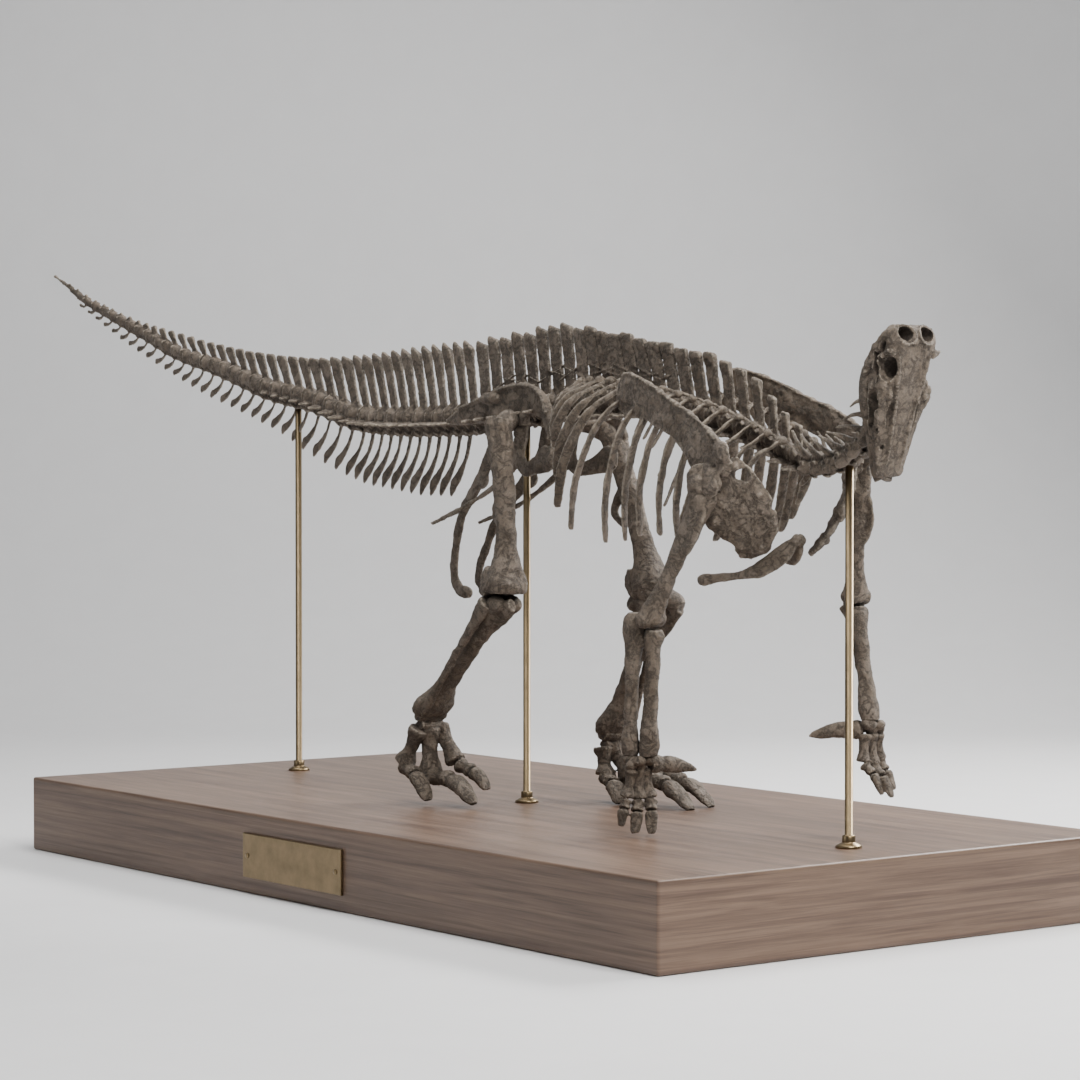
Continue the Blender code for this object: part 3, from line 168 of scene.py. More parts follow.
# Openings of one side of the skull: place along, across and up, size, turn in degrees
SKULL_CUTS = [
    (0.572, 0.134, 0.056, (0.136, 0.1, 0.084), 4), (0.576, 0.096, 0.04, (0.11, 0.08, 0.07), 0),
    (0.4, 0.166, -0.016, (0.124, 0.15, 0.108), 16), (0.33, 0.142, -0.028, (0.16, 0.11, 0.064), 14),
    (0.33, 0.088, 0.05, (0.15, 0.03, 0.056), 0), (0.285, 0.118, 0.012, (0.11, 0.03, 0.022), 0),
    (0.74, 0.071, 0.07, (0.078, 0.098, 0.15), -24), (0.59, 0.154, -0.016, (0.14, 0.07, 0.022), -4),
    (0.61, 0.152, 0.014, (0.09, 0.06, 0.014), 0), (0.515, 0.156, 0.006, (0.06, 0.04, 0.016), 0),
    (0.672, 0.158, 0.022, (0.07, 0.08, 0.03), 20), (0.615, 0.16, 0.01, (0.03, 0.06, 0.022), 0),
    (0.092, 0.078, 0.018, (0.044, 0.03, 0.02), 0), (0.175, 0.088, 0.016, (0.05, 0.026, 0.014), 0),
    (0.496, 0.128, 0.066, (0.03, 0.02, 0.03), 0),
]

# Right girdle, from the blade's free end to the shoulder: x, y, z, width
SCAPULA = [
    (1.215, -0.305, 2.82, 0.19), (1.33, -0.33, 2.795, 0.225), (1.48, -0.36, 2.765, 0.205),
    (1.725, -0.4, 2.682, 0.175), (1.95, -0.435, 2.585, 0.19), (2.1, -0.445, 2.455, 0.27),
    (2.165, -0.435, 2.345, 0.33),
]
CORACOID = [
    (2.135, -0.428, 2.4, 0.3), (2.155, -0.355, 2.27, 0.385), (2.18, -0.258, 2.13, 0.38),
    (2.15, -0.185, 2.0, 0.245), (2.085, -0.148, 1.925, 0.08),
]
STERNAL = [
    (2.32, -0.012, 2.02, 0.055), (2.25, -0.055, 1.94, 0.11), (2.16, -0.11, 1.87, 0.1),
    (2.05, -0.165, 1.835, 0.05), (1.96, -0.21, 1.82, 0.048), (1.86, -0.255, 1.805, 0.075),
]
STERNAL_LEFT = [
    (2.32, 0.012, 2.02, 0.055), (2.25, 0.05, 1.96, 0.1), (2.16, 0.095, 1.925, 0.095),
    (2.07, 0.135, 1.915, 0.05), (1.99, 0.165, 1.915, 0.045), (1.9, 0.195, 1.92, 0.065),
]
LEFT_GIRDLE_SHIFT = Vector((0.22, -0.045, 0.025))

# Right half of the pelvis: x, y, z, depth of the bone in the side view
ILIUM = [
    (-0.56, -0.185, 2.672, 0.03), (-0.42, -0.187, 2.7, 0.1), (-0.2, -0.187, 2.735, 0.15),
    (0.05, -0.187, 2.78, 0.19), (0.25, -0.187, 2.785, 0.185), (0.4, -0.205, 2.745, 0.14),
    (0.5, -0.245, 2.665, 0.09), (0.552, -0.275, 2.56, 0.03),
]
ISCHIUM = [
    (-0.07, -0.187, 2.68, 0.1), (-0.09, -0.187, 2.58, 0.11), (-0.13, -0.185, 2.47, 0.1),
    (-0.3, -0.165, 2.29, 0.085), (-0.48, -0.14, 2.12, 0.07), (-0.585, -0.11, 1.92, 0.062),
    (-0.63, -0.09, 1.76, 0.066), (-0.56, -0.085, 1.67, 0.07), (-0.47, -0.085, 1.655, 0.046),
]
PREPUBIS = [
    (0.19, -0.187, 2.68, 0.1), (0.17, -0.187, 2.58, 0.11), (0.14, -0.187, 2.47, 0.11),
    (0.21, -0.19, 2.395, 0.085), (0.34, -0.21, 2.415, 0.11), (0.45, -0.22, 2.45, 0.16),
    (0.52, -0.225, 2.46, 0.11),
]
PUBIC_ROD = [
    (0.13, -0.185, 2.43, 0.07), (-0.08, -0.18, 2.3, 0.04), (-0.38, -0.19, 2.175, 0.03),
    (-0.74, -0.17, 2.07, 0.024),
]

# Joints of the limbs
LEGS = {
    "right": (Vector((0.22, -0.395, 2.685)), Vector((0.325, -0.41, 1.66)),
              Vector((-0.375, -0.45, 0.985))),
    "left": (Vector((0.22, 0.395, 2.685)), Vector((0.6, 0.44, 1.66)),
             Vector((0.16, 0.49, 0.86))),
}
ARMS = {
    "right": (Vector((2.1, -0.432, 2.285)), Vector((1.69, -0.5, 1.56)),
              Vector((1.62, -0.49, 0.875))),
    "left": (Vector((2.345, 0.395, 2.33)), Vector((2.2, 0.52, 1.67)),
             Vector((2.31, 0.52, 1.06))),
}
# Toes and fingers: knuckle above the ground, then the tip of the hoof, inner to outer
TOES = {
    "right": (((-0.23, -0.35, 0.68), (-0.03, -0.28, 0.545)),
              ((-0.36, -0.45, 0.605), (0.055, -0.445, 0.482)),
              ((-0.5, -0.545, 0.665), (-0.235, -0.56, 0.486))),
    "left": (((0.2, 0.4, 0.6), (0.41, 0.345, 0.462)),
             ((0.33, 0.5, 0.575), (0.88, 0.48, 0.458)),
             ((0.3, 0.61, 0.59), (0.85, 0.665, 0.462))),
}
FINGERS = {
    "right": (((1.65, -0.44, 0.64), (1.735, -0.5, 0.474)),
              ((1.63, -0.505, 0.635), (1.68, -0.57, 0.472)),
              ((1.6, -0.565, 0.645), (1.61, -0.61, 0.505))),
    "left": (((2.33, 0.455, 0.83), (2.43, 0.5, 0.672)),
             ((2.33, 0.525, 0.815), (2.455, 0.545, 0.655)),
             ((2.31, 0.59, 0.835), (2.4, 0.61, 0.69))),
}
THUMBS = {
    "right": (Vector((1.65, -0.44, 0.83)), Vector((1.7, -0.165, 0.785))),
    "left": (Vector((2.3, 0.47, 1.01)), Vector((2.185, 0.2, 0.98))),
}
# How far the head of the shin bone lies behind the knee
SHIN_SHIFT = {"right": -0.05, "left": -0.02}
TOE_WIDTH = (0.126, 0.142, 0.126)
FINGER_WIDTH = 0.068

# Profiles of the long bones: place along the bone, width across, depth fore and aft
FEMUR = [
    (0.0, 0.12, 0.11), (0.04, 0.165, 0.15), (0.12, 0.15, 0.145), (0.28, 0.128, 0.128),
    (0.48, 0.12, 0.135), (0.66, 0.122, 0.12), (0.8, 0.16, 0.14), (0.9, 0.235, 0.205),
    (0.96, 0.25, 0.24), (1.0, 0.22, 0.215),
]
TIBIA = [
    (0.0, 0.18, 0.19), (0.05, 0.2, 0.205), (0.16, 0.14, 0.16), (0.35, 0.1, 0.11),
    (0.62, 0.106, 0.1), (0.78, 0.15, 0.11), (0.92, 0.262, 0.14), (1.0, 0.25, 0.13),
]
FIBULA = [
    (0.0, 0.055, 0.09), (0.08, 0.06, 0.105), (0.28, 0.048, 0.062), (0.72, 0.042, 0.05),
    (0.94, 0.062, 0.066), (1.0, 0.052, 0.056),
]
HUMERUS = [
    (0.0, 0.1, 0.1), (0.05, 0.15, 0.15), (0.16, 0.115, 0.15), (0.36, 0.095, 0.13),
    (0.52, 0.085, 0.1), (0.7, 0.085, 0.088), (0.86, 0.13, 0.11), (0.95, 0.16, 0.13),
    (1.0, 0.13, 0.1),
]
ULNA = [
    (0.0, 0.05, 0.06), (0.05, 0.08, 0.095), (0.16, 0.085, 0.115), (0.32, 0.068, 0.08),
    (0.7, 0.06, 0.062), (0.92, 0.078, 0.078), (1.0, 0.07, 0.07),
]
RADIUS = [
    (0.0, 0.075, 0.075), (0.06, 0.098, 0.094), (0.2, 0.072, 0.07), (0.6, 0.07, 0.066),
    (0.88, 0.1, 0.085), (1.0, 0.09, 0.075),
]

# The photograph's view
CAMERA_PLACE = Vector((14.244, -10.703, 2.355))
CAMERA_TILT = radians(88.8)
CAMERA_TURN = radians(52.89)
CAMERA_LENS = 102.43


def length_setting(name, default, description):
    return bpy.props.FloatProperty(name=name, description=description, default=default,
                                   unit="LENGTH")


def colour_setting(name, default, description):
    return bpy.props.FloatVectorProperty(name=name, description=description, subtype="COLOR",
                                         size=4, default=(*default, 1.0))


class SkeletonSettings(bpy.types.PropertyGroup):
    """Sizes and colours of the bones."""
    skin: length_setting("Skin Detail", 0.0068, "Cell size at which a bone's bodies are melted")
    fine_skin: length_setting(
        "Fine Detail", 0.0046, "Cell size for the skull, neck, hands and feet; coarser on the back")
    grain: length_setting("Surface Grain", 0.02, "Size of the pits and ridges of the surface")
    relief: length_setting("Surface Relief", 0.005, "Depth of the pits and ridges")
    lumps: length_setting("Lumps", 0.01, "Depth of the broad unevenness of a bone")
    # Painted highlight colour, laid on rims and ridges
    bone_painted_highlight: colour_setting("Bone, Painted Highlight", (0.36, 0.31, 0.245), "Colour of ridges and rims")
    bone_middle: colour_setting("Bone", (0.15, 0.12, 0.093), "Colour of open surfaces")
    # Painted shade colour, laid in hollows and recesses
    bone_painted_shade: colour_setting("Bone, Hollows", (0.04, 0.031, 0.024), "Colour of hollows and seams")


class StandSettings(bpy.types.PropertyGroup):
    """Sizes and colours of the base, rods and plaque."""
    rod_radius: length_setting("Rod Radius", 0.021, "Radius of the upright rods")
    flange_radius: length_setting("Flange Radius", 0.068, "Radius of the foot of a rod")
    wood_light: colour_setting("Wood, Light", (0.185, 0.118, 0.08), "Colour between grain lines")
    wood_dark: colour_setting("Wood, Dark", (0.085, 0.049, 0.032), "Colour of the grain lines")
    brass: colour_setting("Brass", (0.25, 0.185, 0.105), "Colour of the rods and plaque")


class StageSettings(bpy.types.PropertyGroup):
    """The floor and the light."""
    floor: colour_setting("Floor", (0.8, 0.8, 0.805), "Colour of the floor and backdrop")
    key_watts: bpy.props.FloatProperty(
        name="Key Light", description="Power of the large soft light", default=1500.0,
        unit="POWER")


# Shapes


def smooth_rows(rows, steps):
    """Rows of numbers joined by a Catmull-Rom curve, with a number of steps per span."""
    rows = [tuple(row) for row in rows]
    first = tuple(2 * a - b for a, b in zip(rows[0], rows[1]))
    last = tuple(2 * a - b for a, b in zip(rows[-1], rows[-2]))
    padded = [first] + rows + [last]
    result = []
    for span in range(len(rows) - 1):
        before, start, end, after = padded[span:span + 4]
        for step in range(steps):
            t = step / steps
            result.append(tuple(
                0.5 * (2 * b + (c - a) * t + (2 * a - 5 * b + 4 * c - d) * t * t
                       + (3 * b - a - 3 * c + d) * t * t * t)
                for a, b, c, d in zip(before, start, end, after)))
    result.append(rows[-1])
    return result


def at_x(rows, x):
    """Read a table sorted by its first column at x, in straight lines."""
    for low, high in zip(rows, rows[1:]):
        if x <= high[0]:
            share = (x - low[0]) / (high[0] - low[0])
            return [a + (b - a) * share for a, b in zip(low[1:], high[1:])]
    return list(rows[-1][1:])


def mirrored(rows):
    """The same rows on the other side of the mid-plane."""
    return [(x, -y, *rest) for x, y, *rest in rows]


def beside(point, x, y, z, *rest):
    """A row at a shift from a point, with its other numbers."""
    return (*(point + Vector((x, y, z))), *rest)


def linked_object(name, data):
    made = bpy.data.objects.new(name, data)
    bpy.context.scene.collection.objects.link(made)
    return made


def superellipse(count, power):
    """Points round a unit outline between a circle, power 1, and a square, power near 0."""
    outline = []
    for index in range(count):
        a, b = cos(2 * pi * index / count), sin(2 * pi * index / count)
        outline.append((abs(a) ** power * (1 if a > 0 else -1),
                        abs(b) ** power * (1 if b > 0 else -1)))
    return outline


class Clay:
    """Closed bodies that overlap, to be melted into one bone."""

    def __init__(self):
        self.points = []
        self.faces = []

    def rings(self, rings):
        first = len(self.points)
        sides = len(rings[0])
        for ring in rings:
            self.points.extend(ring)
        self.faces.append(tuple(first + side for side in reversed(range(sides))))
        for row in range(len(rings) - 1):
            for side in range(sides):
                low = first + row * sides
                after = (side + 1) % sides
                self.faces.append((low + side, low + after, low + sides + after,
                                   low + sides + side))
        top = first + (len(rings) - 1) * sides
        self.faces.append(tuple(range(top, top + sides)))

    def tube(self, rows, side=SIDE_Y, steps=4, sides=16, power=1.0):
        """A tube along rows of x, y, z, width along the side vector, depth across it."""
        rows = smooth_rows(rows, steps)
        centres = [Vector(row[:3]) for row in rows]
        outline = superellipse(sides, power)
        rings = []
        for index, row in enumerate(rows):
            ahead = centres[min(index + 1, len(rows) - 1)]
            behind = centres[max(index - 1, 0)]
            along = (ahead - behind).normalized()
            across = (side - along * side.dot(along)).normalized()
            other = along.cross(across)
            rings.append([centres[index] + across * (a * row[3] / 2) + other * (b * row[4] / 2)
                          for a, b in outline])
        self.rings(rings)

    def flat(self, rows, thickness, side=SIDE_Y, steps=4, power=0.6, sides=20):
        """A flat bone along rows of x, y, z, width, thin along the side vector."""
        self.tube([(*row[:3], thickness, row[3]) for row in rows], side, steps, sides, power)

    def shaft(self, start, end, profile, side=SIDE_Y, bow=Vector((0, 0, 0)), power=1.0, sides=18):
        """A bone from start to end, with its profile of widths and depths."""
        rows = []
        for place, width, depth in profile:
            centre = start.lerp(end, place) + bow * (4 * place * (1 - place))
            rows.append((*centre, width, depth))
        self.tube(rows, side, 3, sides, power)

    def lump(self, centre, size, turn=(0, 0, 0)):
        """An egg-shaped body."""
        work = bmesh.new()
        bmesh.ops.create_icosphere(work, subdivisions=3, radius=0.5)
        place = (Matrix.Translation(Vector(centre)) @ Euler(turn).to_matrix().to_4x4()
                 @ Matrix.Diagonal((*size, 1)))
        bmesh.ops.transform(work, matrix=place, verts=work.verts[:])
        first = len(self.points)
        work.verts.ensure_lookup_table()
        self.points.extend(vert.co.copy() for vert in work.verts)
        self.faces.extend(tuple(first + vert.index for vert in face.verts) for face in work.faces)
        work.free()

    def add_mesh(self, mesh):
        first = len(self.points)
        self.points.extend(vert.co.copy() for vert in mesh.vertices)
        self.faces.extend(tuple(first + index for index in face.vertices)
                          for face in mesh.polygons)

    def build(self, name):
        mesh = bpy.data.meshes.new(name)
        mesh.from_pydata([tuple(point) for point in self.points], [], self.faces)
        return linked_object(name, mesh)


class Column:
    """The backbone's curve, read by distance along it."""

    def __init__(self):
        self.rows = smooth_rows(COLUMN, COLUMN_STEPS)
        self.lengths = [0.0]
        for a, b in zip(self.rows, self.rows[1:]):
            step = ((b[0] - a[0]) ** 2 + (b[1] - a[1]) ** 2) ** 0.5
            self.lengths.append(self.lengths[-1] + step)
        self.by_x = [(row[0], length) for row, length in zip(self.rows, self.lengths)]
        self.by_length = [(length, *row) for row, length in zip(self.rows, self.lengths)]

    def distance(self, x):
        return at_x(self.by_x, x)[0]

    def read(self, distance):
        """Centre, forward and upward directions, height and width of the centrum."""
        x, z, height, width = at_x(self.by_length, distance)
        ahead = at_x(self.by_length, distance + COLUMN_REACH)
        behind = at_x(self.by_length, distance - COLUMN_REACH)
        along = Vector((ahead[0] - behind[0], 0, ahead[1] - behind[1])).normalized()
        return Vector((x, 0, z)), along, along.cross(SIDE_Y) * -1, height, width

    def places(self, length):
        """Distances of the middles of the vertebrae in one length of the backbone."""
        start, end = self.distance(length[0]), self.distance(length[1])
        pitch = (end - start) / length[2]
        return [start + (index + 0.5) * pitch for index in range(length[2])], pitch


column = Column()


def frame_of(along, up):
    """A turn that takes X to the forward direction and Z near the up direction."""
    side = up.cross(along).normalized()
    high = along.cross(side).normalized()
    return Matrix((along, side, high)).transposed()


def frame_on(rise):
    """A turn that takes Z to a direction in the mid-plane."""
    return frame_of(SIDE_Y.cross(rise).normalized(), rise.normalized())


# Geometry Nodes


class Nodes:
    """A node tree; first, math and the calls after it give the new node's output."""

    def __init__(self, tree):
        self.tree = tree

    def feed(self, node, links):
        """Set a node's inputs, by name or number, to sockets or values."""
        for key, value in links.items():
            if isinstance(value, bpy.types.NodeSocket):
                self.tree.links.new(value, node.inputs[key])
            else:
                node.inputs[key].default_value = value

    def add(self, kind, links=None, **settings):
        made = self.tree.nodes.new(kind)
        for key, value in settings.items():
            setattr(made, key, value)
        self.feed(made, links or {})
        return made

    def first(self, kind, links=None, **settings):
        return self.add(kind, links, **settings).outputs[0]

    def math(self, operation, *values):
        return self.first("ShaderNodeMath", dict(enumerate(values)), operation=operation)

    def scaled(self, vector, scale):
        return self.first("ShaderNodeVectorMath", {0: vector, "Scale": scale}, operation="SCALE")

    def attribute(self, name, kind="FLOAT_VECTOR"):
        return self.first("GeometryNodeInputNamedAttribute", {"Name": name}, data_type=kind)

    def place(self):
        return self.add("ShaderNodeTexCoord").outputs["Object"]

    def noise(self, place, scale, detail, roughness=0.5, distortion=0.0):
        return self.first("ShaderNodeTexNoise", {
            "Vector": place, "Scale": scale, "Detail": detail, "Roughness": roughness,
            "Distortion": distortion})

    def spread(self, value, low=0.0, high=1.0, to_low=0.0, to_high=1.0):
        """A value between low and high, taken to the range between to_low and to_high."""
        return self.first("ShaderNodeMapRange", {
            "Value": value, "From Min": low, "From Max": high, "To Min": to_low,
            "To Max": to_high})

    def bump(self, strength, distance, height):
        return self.first("ShaderNodeBump", {
            "Strength": strength, "Distance": distance, "Height": height})

    def mix(self, factor, one, other, blend="MIX"):
        """A mix of two colours."""
        return self.add("ShaderNodeMix", {0: factor, 6: one, 7: other}, data_type="RGBA",
                        blend_type=blend).outputs[2]


def new_tree(name, sockets):
    """A geometry tree's nodes and its inputs: the geometry and the named ones."""
    tree = bpy.data.node_groups.new(name, "GeometryNodeTree")
    tree.interface.new_socket("Geometry", in_out="INPUT", socket_type="NodeSocketGeometry")
    tree.interface.new_socket("Geometry", in_out="OUTPUT", socket_type="NodeSocketGeometry")
    for label, kind, default in sockets:
        socket = tree.interface.new_socket(label, in_out="INPUT", socket_type="NodeSocket" + kind)
        if default is not None:
            socket.default_value = default
    nodes = Nodes(tree)
    return nodes, nodes.add("NodeGroupInput").outputs


def end_tree(nodes, geometry, material):
    """End a geometry tree: copies made real, then their material."""
    real = nodes.first("GeometryNodeRealizeInstances", {0: geometry})
    coloured = nodes.first("GeometryNodeSetMaterial", {"Geometry": real, "Material": material})
    nodes.add("NodeGroupOutput", {0: coloured})
    return nodes.tree


def apply_tree(target, tree, values):
    """Put a tree on an object with its inputs set by their identifiers."""
    modifier = target.modifiers.new(tree.name, "NODES")
    modifier.node_group = tree
    for item in tree.interface.items_tree:
        if item.item_type == "SOCKET" and item.in_out == "INPUT" and item.name in values:
            modifier[item.identifier] = values[item.name]
    return modifier


def settle(target):
    """Turn what the modifiers make into the object's own plain mesh."""
    graph = bpy.context.evaluated_depsgraph_get()
    mesh = bpy.data.meshes.new_from_object(target.evaluated_get(graph))
    target.modifiers.clear()
    old = target.data
    target.data = mesh
    if isinstance(old, bpy.types.Mesh):
        bpy.data.meshes.remove(old)
    return target


def relief_tree():
    """Broad lumps and fine pits over a melted bone."""
    nodes, given = new_tree("Fossil Relief", [
        ("Grain", "Float", 0.02), ("Relief", "Float", 0.003), ("Lumps", "Float", 0.008),
        ("Seed", "Int", 7), ("Material", "Material", None)])
    fine_scale = nodes.math("DIVIDE", 1.0, given["Grain"])
    broad_scale = nodes.math("MULTIPLY", fine_scale, 0.24)
    shifts = []
    for depth, scale, detail, roughness in (("Relief", fine_scale, 4.0, 0.62),
                                            ("Lumps", broad_scale, 1.0, 0.5)):
        texture = nodes.first("ShaderNodeTexNoise", {
            "Vector": nodes.first("GeometryNodeInputPosition"), "W": given["Seed"],
            "Scale": scale, "Detail": detail, "Roughness": roughness}, noise_dimensions="4D")
        centred = nodes.math("SUBTRACT", texture, 0.52)
        shifts.append(nodes.math("MULTIPLY", centred, given[depth]))
    rise = nodes.math("MULTIPLY", nodes.math("ADD", *shifts), 2.0)
    moved = nodes.first("GeometryNodeSetPosition", {
        "Geometry": given["Geometry"],
        "Offset": nodes.scaled(nodes.first("GeometryNodeInputNormal"), rise)})
    smooth = nodes.first("GeometryNodeSetShadeSmooth", {"Geometry": moved})
    return end_tree(nodes, smooth, given["Material"])


def repeat_tree():
    """One copy of a shape on each point, turned and sized by the point's own values."""
    nodes, given = new_tree("Repeated Bones", [
        ("Shape", "Object", None), ("Length", "Float", 1.0), ("Material", "Material", None)])
    shape = nodes.add("GeometryNodeObjectInfo", {"Object": given["Shape"]}).outputs["Geometry"]
    stretch = nodes.first("ShaderNodeCombineXYZ", {0: given["Length"], 1: 1.0, 2: 1.0})
    copies = nodes.first("GeometryNodeInstanceOnPoints", {
        "Points": given["Geometry"], "Instance": shape,
        "Rotation": nodes.first("FunctionNodeEulerToRotation", {0: nodes.attribute("turn")}),
        "Scale": nodes.first("ShaderNodeVectorMath", {0: nodes.attribute("size"), 1: stretch},
                             operation="MULTIPLY")})
    return end_tree(nodes, copies, given["Material"])


def blade_tree():
    """Flat blades that follow lines, broad by each point's own value, as ribs do."""
    nodes, given = new_tree("Rib Blades", [
        ("Thickness", "Float", 0.45), ("Step", "Float", 0.02), ("Material", "Material", None)])
    curve = nodes.first("GeometryNodeMeshToCurve", {"Mesh": given["Geometry"]})
    even = nodes.first("GeometryNodeResampleCurve", {"Curve": curve, "Length": given["Step"]},
                       mode="LENGTH")
    turned = nodes.first("GeometryNodeSetCurveNormal", {
        "Curve": even, "Normal": nodes.attribute("facing")}, mode="FREE")
    ring = nodes.first("GeometryNodeCurvePrimitiveCircle", {"Resolution": 14, "Radius": 0.5})
    flatter = nodes.first("ShaderNodeCombineXYZ", {0: 1.0, 1: given["Thickness"], 2: 1.0})
    flat = nodes.first("GeometryNodeTransform", {"Geometry": ring, "Scale": flatter})
    blade = nodes.first("GeometryNodeCurveToMesh", {
        "Curve": turned, "Profile Curve": flat, "Scale": nodes.attribute("breadth", "FLOAT"),
        "Fill Caps": True})
    return end_tree(nodes, blade, given["Material"])


def once(kind, name, make):
    """A tree or material that is made the first time it is asked for."""
    found = getattr(bpy.data, kind).get(name)
    return found if found else make()


def grow(clay, tree, inputs, points, edges, values):
    """Run a tree on points that carry named values, and add what it makes to the clay."""
    mesh = bpy.data.meshes.new("points")
    mesh.from_pydata(points, edges, [])
    for name, kind, rows in values:
        field = "value" if kind == "FLOAT" else "vector"
        for item, row in zip(mesh.attributes.new(name, kind, "POINT").data, rows):
            setattr(item, field, row)
    made = linked_object("points", mesh)
    apply_tree(made, tree, inputs)
    settle(made)
    clay.add_mesh(made.data)
    bpy.data.objects.remove(made, do_unlink=True)


def repeated(shape, spots, clay):
    """Copies of a shape at spots, which are place, turn matrix and size."""
    places, turns, sizes = zip(*spots)
    grow(clay, once("node_groups", "Repeated Bones", repeat_tree),
         {"Shape": shape, "Length": 1.0}, [tuple(place) for place in places], [],
         [("turn", "FLOAT_VECTOR", [turn.to_euler()[:] for turn in turns]),
          ("size", "FLOAT_VECTOR", sizes)])


def blades(lines, thickness, clay):
    """Blades along lines of x, y, z, breadth, each with its facing vector."""
    points, edges, facings = [], [], []
    for rows, facing in lines:
        first = len(points)
        points.extend(smooth_rows(rows, 4))
        facings.extend([facing] * (len(points) - first))
        edges.extend((index, index + 1) for index in range(first, len(points) - 1))
    grow(clay, once("node_groups", "Rib Blades", blade_tree),
         {"Thickness": thickness, "Step": 0.02}, [point[:3] for point in points], edges,
         [("breadth", "FLOAT", [point[3] for point in points]),
          ("facing", "FLOAT_VECTOR", facings)])


# Materials


def bone_wear_and_painted_light_group():
    """Masks of painted highlight on rims, painted shade in hollows from concavity and ambient occlusion,
    and real mottle, pits and cracks, from the shape and the object's place.
    """
    tree = bpy.data.node_groups.new("Bone Wear and Painted Light", "ShaderNodeTree")
    nodes = Nodes(tree)
    place = nodes.place()
    point = nodes.add("ShaderNodeNewGeometry").outputs["Pointiness"]
    painted_shade_occlusion = nodes.add("ShaderNodeAmbientOcclusion", {"Distance": 0.12}, samples=6).outputs["AO"]
    folds = nodes.math("SUBTRACT", nodes.noise(place, 13.0, 7.0, 0.68, 0.6), 0.5)
    masks = {
        # Painted highlight: rims and ridges picked out by pointiness
        "Painted Rim Highlight": nodes.spread(point, 0.522, 0.58),
        # Painted shade: hollows and recesses darkened by concavity and ambient occlusion
        "Painted Shade": nodes.math("MAXIMUM", nodes.spread(point, 0.492, 0.45),
                              nodes.spread(painted_shade_occlusion, 0.62, 0.1)),
        "Mottle": nodes.noise(place, 5.5, 7.0, 0.65),
        "Pits": nodes.noise(place, 95.0, 6.0, 0.7),
        "Cracks": nodes.spread(nodes.math("ABSOLUTE", folds), 0.0, 0.045),
    }
    for label in masks:
        tree.interface.new_socket(label, in_out="OUTPUT", socket_type="NodeSocketFloat")
    nodes.add("NodeGroupOutput", masks)
    return tree


def new_material(name, roughness, metallic):
    """A material, its nodes and its shader."""
    made = bpy.data.materials.new(name)
    made.use_nodes = True
    nodes = Nodes(made.node_tree)
    shader = made.node_tree.nodes["Principled BSDF"]
    nodes.feed(shader, {"Roughness": roughness, "Metallic": metallic})
    return made, nodes, shader


def bone_material():
    """Grey-brown fossil bone, with a painted highlight on its rims and painted shade in its hollows."""
    look = bpy.context.scene.skeleton_settings
    made, nodes, shader = new_material("fossil_bone", 0.72, 0.0)
    wear = nodes.add("ShaderNodeGroup",
                     node_tree=once("node_groups", "Bone Wear and Painted Light", bone_wear_and_painted_light_group)).outputs
    warm = tuple(value * tint for value, tint in zip(look.bone_middle, (0.6, 0.56, 0.5, 1)))
    base = nodes.mix(nodes.spread(wear["Mottle"], 0.36, 0.66), tuple(look.bone_middle), warm)
    shade = nodes.math("MULTIPLY", nodes.spread(wear["Pits"], 0.35, 0.62, 0.72, 1.24),
                       nodes.spread(wear["Cracks"], 0.0, 1.0, 0.55, 1.06))
    # Painted highlight: the rims are mixed towards the highlight colour
    with_painted_highlight = nodes.mix(wear["Painted Rim Highlight"], nodes.scaled(base, shade), tuple(look.bone_painted_highlight))
    height = nodes.math("MULTIPLY_ADD", wear["Cracks"], 0.8, wear["Pits"])
    nodes.feed(shader, {
        # Painted shade: the hollows are mixed towards the shade colour
        "Base Color": nodes.mix(wear["Painted Shade"], with_painted_highlight, tuple(look.bone_painted_shade)),
        "Roughness": nodes.spread(wear["Pits"], 0.3, 0.7, 0.58, 0.86),
        "Normal": nodes.bump(0.8, 0.008, height)})
    return made


def wood_material():
    """Brown veneer with a fine straight grain along the base."""
    look = bpy.context.scene.stand_settings
    made, nodes, shader = new_material("base_wood", 0.4, 0.0)
    place = nodes.place()
    normal = nodes.add("ShaderNodeNewGeometry").outputs["True Normal"]
    facing_up = nodes.add("ShaderNodeSeparateXYZ", {0: normal}).outputs[2]
    upward = nodes.math("GREATER_THAN", facing_up, 0.5)

    def along_grain(*scales):
        side, top = (nodes.first("ShaderNodeMapping", {"Vector": place, "Scale": scale})
                     for scale in scales)
        return nodes.add("ShaderNodeMix", {0: upward, 4: side, 5: top},
                         data_type="VECTOR").outputs[1]

    wave = nodes.noise(along_grain((0.5, 0.5, 22.0), (0.5, 7.0, 22.0)), 1.6, 5.0, 0.6, 0.5)
    fine = nodes.noise(along_grain((2.0, 2.0, 170.0), (2.0, 80.0, 170.0)), 2.0, 6.0, 0.7)
    dark = tuple(look.wood_dark)
    ground = nodes.mix(nodes.spread(wave, 0.35, 0.68), tuple(look.wood_light), dark)
    grained = nodes.mix(nodes.spread(fine, 0.38, 0.62, 0.0, 0.55), ground, dark, "MULTIPLY")
    nodes.feed(shader, {
        "Base Color": nodes.mix(0.45, ground, grained),
        "Roughness": nodes.spread(fine, 0.0, 1.0, 0.34, 0.52),
        "Normal": nodes.bump(0.12, 0.001, fine)})
    return made


def brass_material(name, roughness):
    """Satin brass with faint stains."""
    made, nodes, shader = new_material(name, roughness, 1.0)
    bright = tuple(bpy.context.scene.stand_settings.brass)
    dull = tuple(value * 0.75 for value in bright[:3]) + (1.0,)
    stain = nodes.noise(nodes.place(), 14.0, 6.0, 0.6)
    nodes.feed(shader, {
        "Base Color": nodes.mix(nodes.spread(stain, 0.36, 0.8), bright, dull),
        "Roughness": nodes.spread(stain, 0.0, 1.0, roughness - 0.06, roughness + 0.16)})
    return made


# Finishing a piece


def add_skin(target, cell):
    """Melt an object's bodies into one skin."""
    skin = target.modifiers.new("Skin", "REMESH")
    skin.mode = "VOXEL"
    skin.voxel_size = cell


